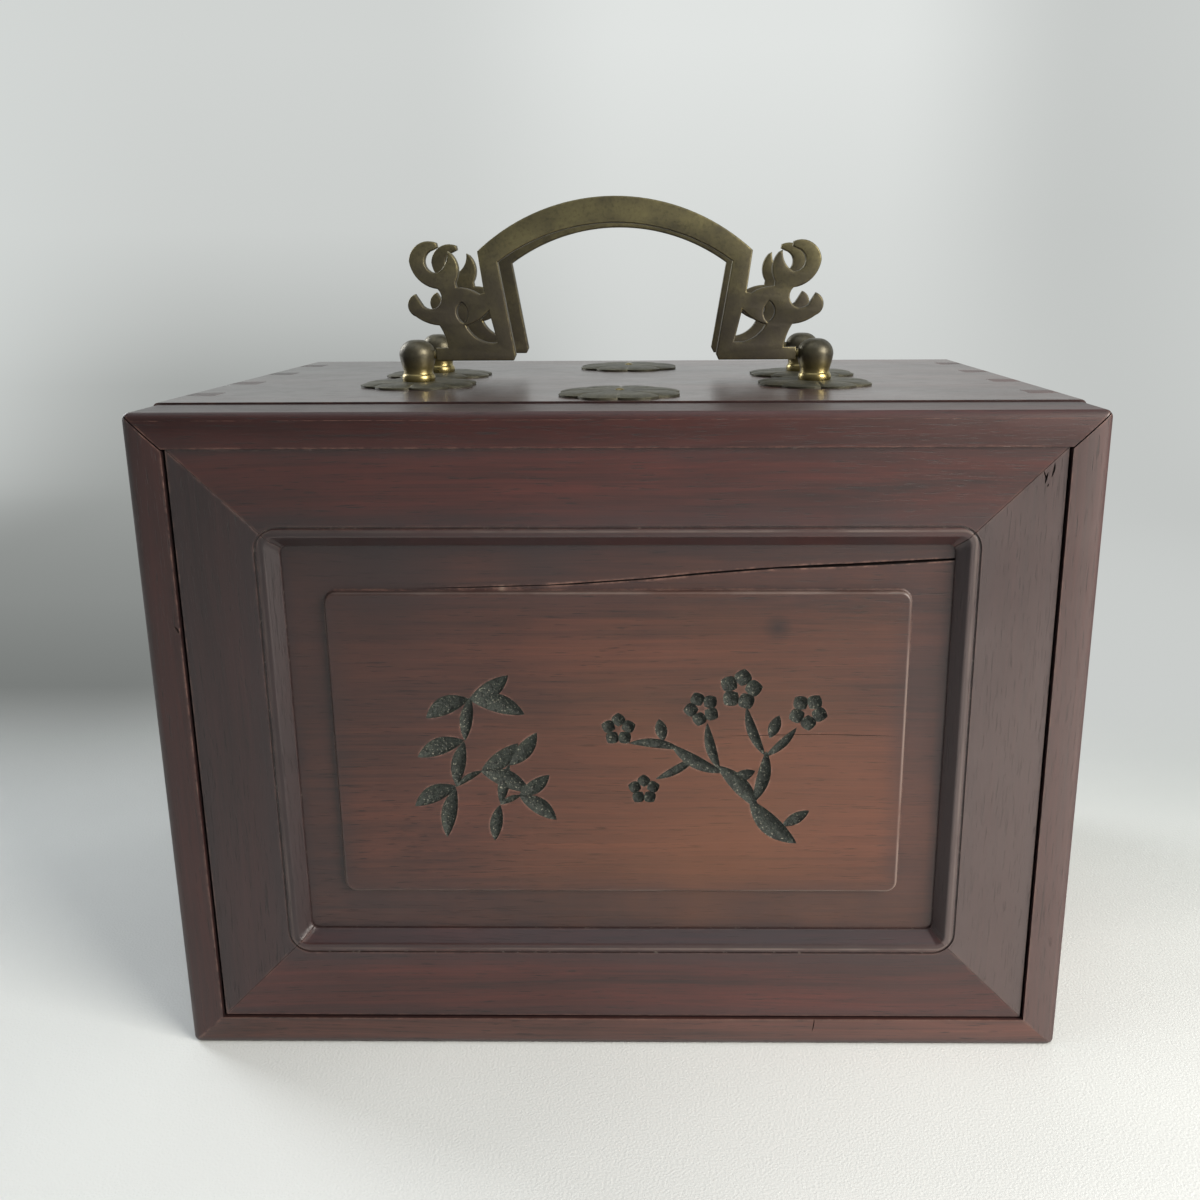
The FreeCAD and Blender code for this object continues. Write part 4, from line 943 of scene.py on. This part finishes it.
def cast_flat(name, loops):
    """A flat casting with round edges, lying in XY, in metres."""
    curve = adjust(bpy.data.curves.new(name, "CURVE"), dimensions="2D", fill_mode="BOTH",
                   extrude=(THICK / 2 - EDGE) * MM, bevel_depth=EDGE * MM, bevel_resolution=2,
                   offset=-EDGE * MM)
    for loop in loops:
        spline = curve.splines.new("POLY")
        spline.points.add(len(loop) - 1)
        for point, (x, y) in zip(spline.points, loop):
            point.co = (x * MM, y * MM, 0, 1)
        spline.use_cyclic_u = True
    only(new_object(name, curve))
    bpy.ops.object.convert(target="MESH")
    return tidy_mesh(bpy.context.object, 2e-6)


def make_bail(name, node, y):
    parts = [settle(cast_flat(name, bail_loops()), (HANDLE_X, y, PIVOT), UPRIGHT)]
    for side in (1, -1):
        pin = bar_along_x(PIN_RADIUS, PIN_LENGTH, (HANDLE_X + side * (SPAN - PIN_IN), y, PIVOT))
        with editing(pin):
            bpy.ops.mesh.bevel(offset=0.25 * MM, segments=2)
        parts.append(settle(pin))
    return stands_for(joined(parts, name), node, bail_brass)


for end, y in (("front", -POST_Y), ("back", POST_Y)):
    make_bail(f"{end}_bail_casting", f"{end}_bail", y)

# %% [markdown]
# ## Turned brass
#
# Posts, nails and drawer knobs come off a lathe, and Spin is Blender's lathe. A post has a
# footring, a waist and a round head that is drilled for the bail's pin. Its shank goes down
# through the lid and is riveted over a washer inside the case.


# %% Turn the posts
def turned(name, profile, steps=40):
    """Spin a closed profile of (radius, height) in mm, ends on the axis, round Z."""
    return spun(name, [(r * MM, 0, z * MM) for r, z in profile], (0, 0, 1), steps)


POST = [(0, -8.7), (1.5, -8.7), (2.2, -8.45), (2.6, -7.6), (1.75, -7.6), (1.75, 1.0), (4.5, 1.0)]
POST += arc_through((4.5, 1.0), (4.9, 2.2), (4.5, 3.4), 6)
POST += [(4.35, 3.5), (4.3, 3.75), (4.3, 4.55)]
POST += arc_through((4.3, 4.6), (4.75, 6.05), (5.3, 8.9), 8)
POST += arc_through((5.3, 8.9), (4.1, 11.9), (0.5, 13.2), 12)
POST += [(0, 13.2)]
DRILL_RADIUS = 1.36 * MM


def make_post(node):
    place = middle(node)
    post = turned(f"{node}_turned", POST)
    towards_pin = math.copysign(PIN_IN, HANDLE_X - place.x)
    drill = settle(bar_along_x(DRILL_RADIUS, 6 * MM, (towards_pin, 0, PIN_UP)))
    adjust(post.modifiers.new("eye", "BOOLEAN"), operation="DIFFERENCE", object=drill)
    apply_modifiers(post)
    bpy.data.objects.remove(drill)
    return stands_for(settle(post, (place.x, place.y, BOARD_TOP)), node, post_brass)


for end in ("front", "back"):
    for side in ("left", "right"):
        make_post(f"post_{end}_{side}")

# %% [markdown]
# ## Flower plates
#
# Under each post, and where a folded bail comes to rest, a thin plate is cut like a flower
# with eight petals. The petals are slightly raised in the middle and meet in engraved lines,
# so the plate is a disc of rings whose height follows the petals.

# %% Cut a flower plate
NOTCH, TIP, RIM, LINE = 15.2, 17.0, 0.32, 0.42   # least and greatest reach, rim, line's width
RINGS = (1.0, 0.98, 0.95, 0.9, 0.84, 0.72, 0.55, 0.3, 0.06)


def petal_reach(angle):
    """How far the edge is from the centre at an angle, in mm: eight shallow lobes."""
    within = (angle % (math.pi / 4)) - math.pi / 8
    half = NOTCH * math.sin(math.pi / 8)
    bulge = TIP - NOTCH * math.cos(math.pi / 8)
    radius = (half**2 + bulge**2) / (2 * bulge)
    centre = TIP - radius
    return centre * math.cos(within) + math.sqrt(radius**2 - (centre * math.sin(within))**2)


def make_plate(hole, x, y):
    """A disc of rings, raised petal by petal, with engraved lines between the petals."""
    bpy.ops.mesh.primitive_circle_add(vertices=128, radius=1.0, fill_type="NOTHING")
    plate = bpy.context.object
    with editing(plate):
        for before, after in zip(RINGS, RINGS[1:]):
            bpy.ops.mesh.extrude_region_move()
            bpy.ops.transform.resize(value=(after / before,) * 3)
    for corner in plate.data.vertices:
        share, angle = corner.co.length, math.atan2(corner.co.y, corner.co.x)
        from_line = abs((angle + math.pi / 8) % (math.pi / 4) - math.pi / 8)
        groove = math.exp(-(from_line * share * TIP / LINE) ** 2) if share > 0.5 else 0.0
        reach = hole + (petal_reach(angle) - hole) * (share - RINGS[-1]) / (1 - RINGS[-1])
        swell = RIM + (1 - RIM) * math.sin(min(1.0, max(0.0, 1.0 - share) * 4) * math.pi / 2) ** 0.8
        height = max(RIM, swell - 0.3 * groove)
        corner.co = Vector((reach * math.cos(angle), reach * math.sin(angle), height)) * MM
    adjust(plate.modifiers.new("sheet", "SOLIDIFY"), thickness=0.3 * MM, offset=-1)
    apply_modifiers(plate)
    lowest = min(corner.co.z for corner in plate.data.vertices)
    for corner in plate.data.vertices:
        if corner.co.z < lowest + 0.45 * MM and corner.co.z < 0.55 * MM:
            corner.co.z = 0.0
    return settle(tidy_mesh(plate), (x, y, BOARD_TOP))


NAIL_HEAD, POST_HOLE, NAIL_HOLE = 1.5, 1.8, 0.8
strike_y = abs(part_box("strike_nails")[0].y) - NAIL_HEAD * MM
post_plates = [make_plate(POST_HOLE, HANDLE_X + sx * SPAN, sy * POST_Y) for sx in (1, -1) for sy in (1, -1)]
strike_plates = [make_plate(NAIL_HOLE, 0, sy * strike_y) for sy in (1, -1)]
for plates, node in ((post_plates, "post_plates"), (strike_plates, "strike_plates")):
    stands_for(joined(plates, f"{node}_cut"), node, plate_brass)

# %% Turn the nails
NAIL = [(0, -6.0), (0.24, -6.0), (0.8, -4.4), (0.8, 1.0), (NAIL_HEAD, 1.0)]
NAIL += arc_through((NAIL_HEAD, 1.0), (1.12, 1.5), (0.3, 1.8), 6) + [(0, 1.8)]
nails = [settle(turned("nail", NAIL, 24), (0, sy * strike_y, BOARD_TOP)) for sy in (1, -1)]
stands_for(joined(nails, "strike_nails_turned"), "strike_nails", post_brass)

# %% Turn the drawer knobs
KNOB_LONG = 6.0
KNOB = [(0, -5.0), (1.4, -5.0), (1.4, 0.0), (3.0, 0.0), (2.0, 1.2)]
KNOB += arc_through((2.0, 1.2), (2.9, 2.16), (4.0, 3.72), 8)
KNOB += arc_through((4.0, 3.72), (3.04, 5.28), (0.6, KNOB_LONG), 10) + [(0, KNOB_LONG)]
for level in range(1, 6):
    low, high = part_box(f"drawer_{level}_pull")
    place = (0, low.y + KNOB_LONG * MM, (low.z + high.z) / 2)
    knob = settle(turned(f"drawer_{level}_knob", KNOB, 32), place, UPRIGHT)
    stands_for(knob, f"drawer_{level}_pull", pull_brass)

# %% Dress the washers, whose solids stay, because they are plain rings
dress(nodes["post_washers"], plate_brass)

# %% [markdown]
# ## The table, the cloth and the light
#
# The case stands on a pale cloth that runs far back and up into a tall backdrop, so the case
# can be seen from every side. Near the case the cloth is lit by the lamps and takes the shadow.
# Further back it fades into painted tones, which only the camera and reflections see; on the left they hold
# a painted shadow of the case.

# %% The cloth
CLOTH_FRONT, CLOTH_BACK, CLOTH_TOP, BEND, HALF_WIDTH = -2.4, 1.1, 2.4, 0.3, 3.0
profile = [(CLOTH_FRONT, 0.0), (CLOTH_BACK - BEND, 0.0)]
profile += [(CLOTH_BACK - BEND + BEND * math.sin(a), BEND - BEND * math.cos(a))
            for a in (math.radians(d) for d in range(9, 91, 9))]
profile += [(CLOTH_BACK, CLOTH_TOP)]
cloth = line_of("cloth", [(-HALF_WIDTH, y, z) for y, z in profile])
with editing(cloth):
    bpy.ops.mesh.extrude_region_move(TRANSFORM_OT_translate={"value": (2 * HALF_WIDTH, 0, 0)})
    bpy.ops.mesh.normals_make_consistent(inside=False)
smooth(cloth, 60)

# Tones along the cloth, from just behind the case, over the bend, to the top of the backdrop:
# the way in metres and the brightness, for the shaded left, the middle and the bright right.
WAY = 1.6
LEFT_TONES = [(0.0, 178), (0.12, 148), (0.22, 122), (0.4, 138), (0.65, 149), (1.1, 166), (1.22, 186),
              (1.36, 204), (1.56, 209)]
MIDDLE_TONES = [(0.0, 204), (0.9, 200), (1.2, 210), (1.36, 216), (1.56, 226)]
AROUND = rgb(212, 216, 214)
RIGHT_TONES = [(0.0, 206), (0.12, 199), (0.3, 203), (0.65, 196), (1.1, 196), (1.36, 197), (1.56, 201)]


def cloth_material():
    material, net, shader = new_material("pale_cloth")
    where = net.here()
    x, y, z = net.xyz(where)
    folds = net.streaks(where, (2.2, 3.4, 2.0), 3.0)
    weave = net.noise(where, 1400.0, 1.0)

    # Painted light on the floor: darker towards the left and lighter towards the right, as the window lights
    # it, and a painted shade behind the case on the right
    dull = net.ramp(folds, (0.3, rgb(206, 209, 207)), (0.7, rgb(215, 218, 216)))
    cloth_in_light = net.ramp(folds, (0.3, rgb(242, 245, 243)), (0.7, rgb(250, 252, 250)))
    shaded = net.times(net.share(y, -0.16, 0.15), net.share(x, 0.0, 0.26))
    colour = net.mix(shaded, net.mix(net.share(x, -0.25, 0.25), dull, cloth_in_light), rgb(188, 193, 191))
    rise = net.plus(net.times(folds, 0.02), net.times(weave, 0.0002))
    net.feed(shader, Base_Color=colour, Roughness=0.9, Normal=net.bump(rise, 0.6, 1.0))

    way = net.times(net.plus(y, z), 1.0 / WAY, True)
    left, middle, right = (net.ramp(way, *((at / WAY, rgb(tone - 1, tone + 2, tone)) for at, tone in tones))
                           for tones in (LEFT_TONES, MIDDLE_TONES, RIGHT_TONES))
    tone = net.mix(net.share(x, 0.25, 0.5), net.mix(net.share(x, -0.28, 0.0), left, middle), right)
    around = net.times(net.share(net.measure("LENGTH", where), 0.36, 0.95), net.share(y, 0.25, 0.05))
    around = net.larger(around, net.share(net.math("ABSOLUTE", x), 0.5, 0.95))
    glow = net.add("ShaderNodeEmission", Color=net.mix(around, tone, AROUND), Strength=1.0)
    light = net.add("ShaderNodeLightPath").outputs
    seen = net.larger(light["Is Camera Ray"], light["Is Glossy Ray"])
    far = net.times(net.larger(net.share(y, 0.0, 0.22), around), seen)
    both = net.add("ShaderNodeMixShader", Fac=far, in1=shader.outputs["BSDF"], in2=glow.outputs["Emission"])
    net.feed(net.tree.nodes["Material Output"], Surface=both.outputs["Shader"])
    return material


dress(cloth, cloth_material())

# %% Daylight
world = bpy.data.worlds.new("room")
bpy.context.scene.world = world
world.use_nodes = True
net = Net(world.node_tree)
sky = net.feed(world.node_tree.nodes["Background"], Color=rgb(232, 238, 240), Strength=0.17)
plain = net.add("ShaderNodeBackground", Color=AROUND, Strength=1.0)
seen = net.add("ShaderNodeLightPath").outputs["Is Camera Ray"]
room = net.add("ShaderNodeMixShader", Fac=seen, in1=sky.outputs["Background"],
               in2=plain.outputs["Background"])
net.feed(world.node_tree.nodes["World Output"], Surface=room.outputs["Shader"])


def window(name, place, aim, size, watts, colour):
    """A soft rectangular light that faces a point."""
    lamp = adjust(bpy.data.lights.new(name, "AREA"), shape="RECTANGLE", size=size[0], size_y=size[1],
                  energy=watts, color=colour[:3])
    turn = (Vector(aim) - Vector(place)).to_track_quat("-Z", "Y").to_euler()
    adjust(new_object(name, lamp), location=place, rotation_euler=turn, visible_camera=False)


window("right_window", (1.25, -0.95, 0.8), (0, 0, 0.08), (0.9, 1.0), 38, rgb(255, 250, 242))
window("ceiling", (-0.1, -0.2, 1.3), (0, 0, 0.1), (1.4, 1.0), 5, rgb(246, 250, 255))
window("back_window", (-1.3, 1.0, 0.8), (0, 0, 0.08), (0.9, 0.9), 26, rgb(250, 251, 255))

# %% [markdown]
# ## The camera
#
# It stands a little above the lid and looks slightly down at the front.

# %% Place the camera
EYE = (0.011356, -0.377766, 0.208145)
PITCH, YAW, ROLL = math.radians(15.264), math.radians(0.796), math.radians(-0.283)
eye = adjust(bpy.data.cameras.new("eye"), lens=36.0, sensor_width=36.0, sensor_fit="HORIZONTAL",
             shift_x=-0.03797, shift_y=0.00229, clip_start=0.01)
camera = new_object("camera", eye)
camera.matrix_world = (Matrix.Translation(EYE) @ Matrix.Rotation(YAW, 4, "Z")
                       @ Matrix.Rotation(math.pi / 2 - PITCH, 4, "X") @ Matrix.Rotation(ROLL, 4, "Z"))
bpy.context.scene.camera = camera
bpy.context.scene.view_settings.view_transform = "Standard"
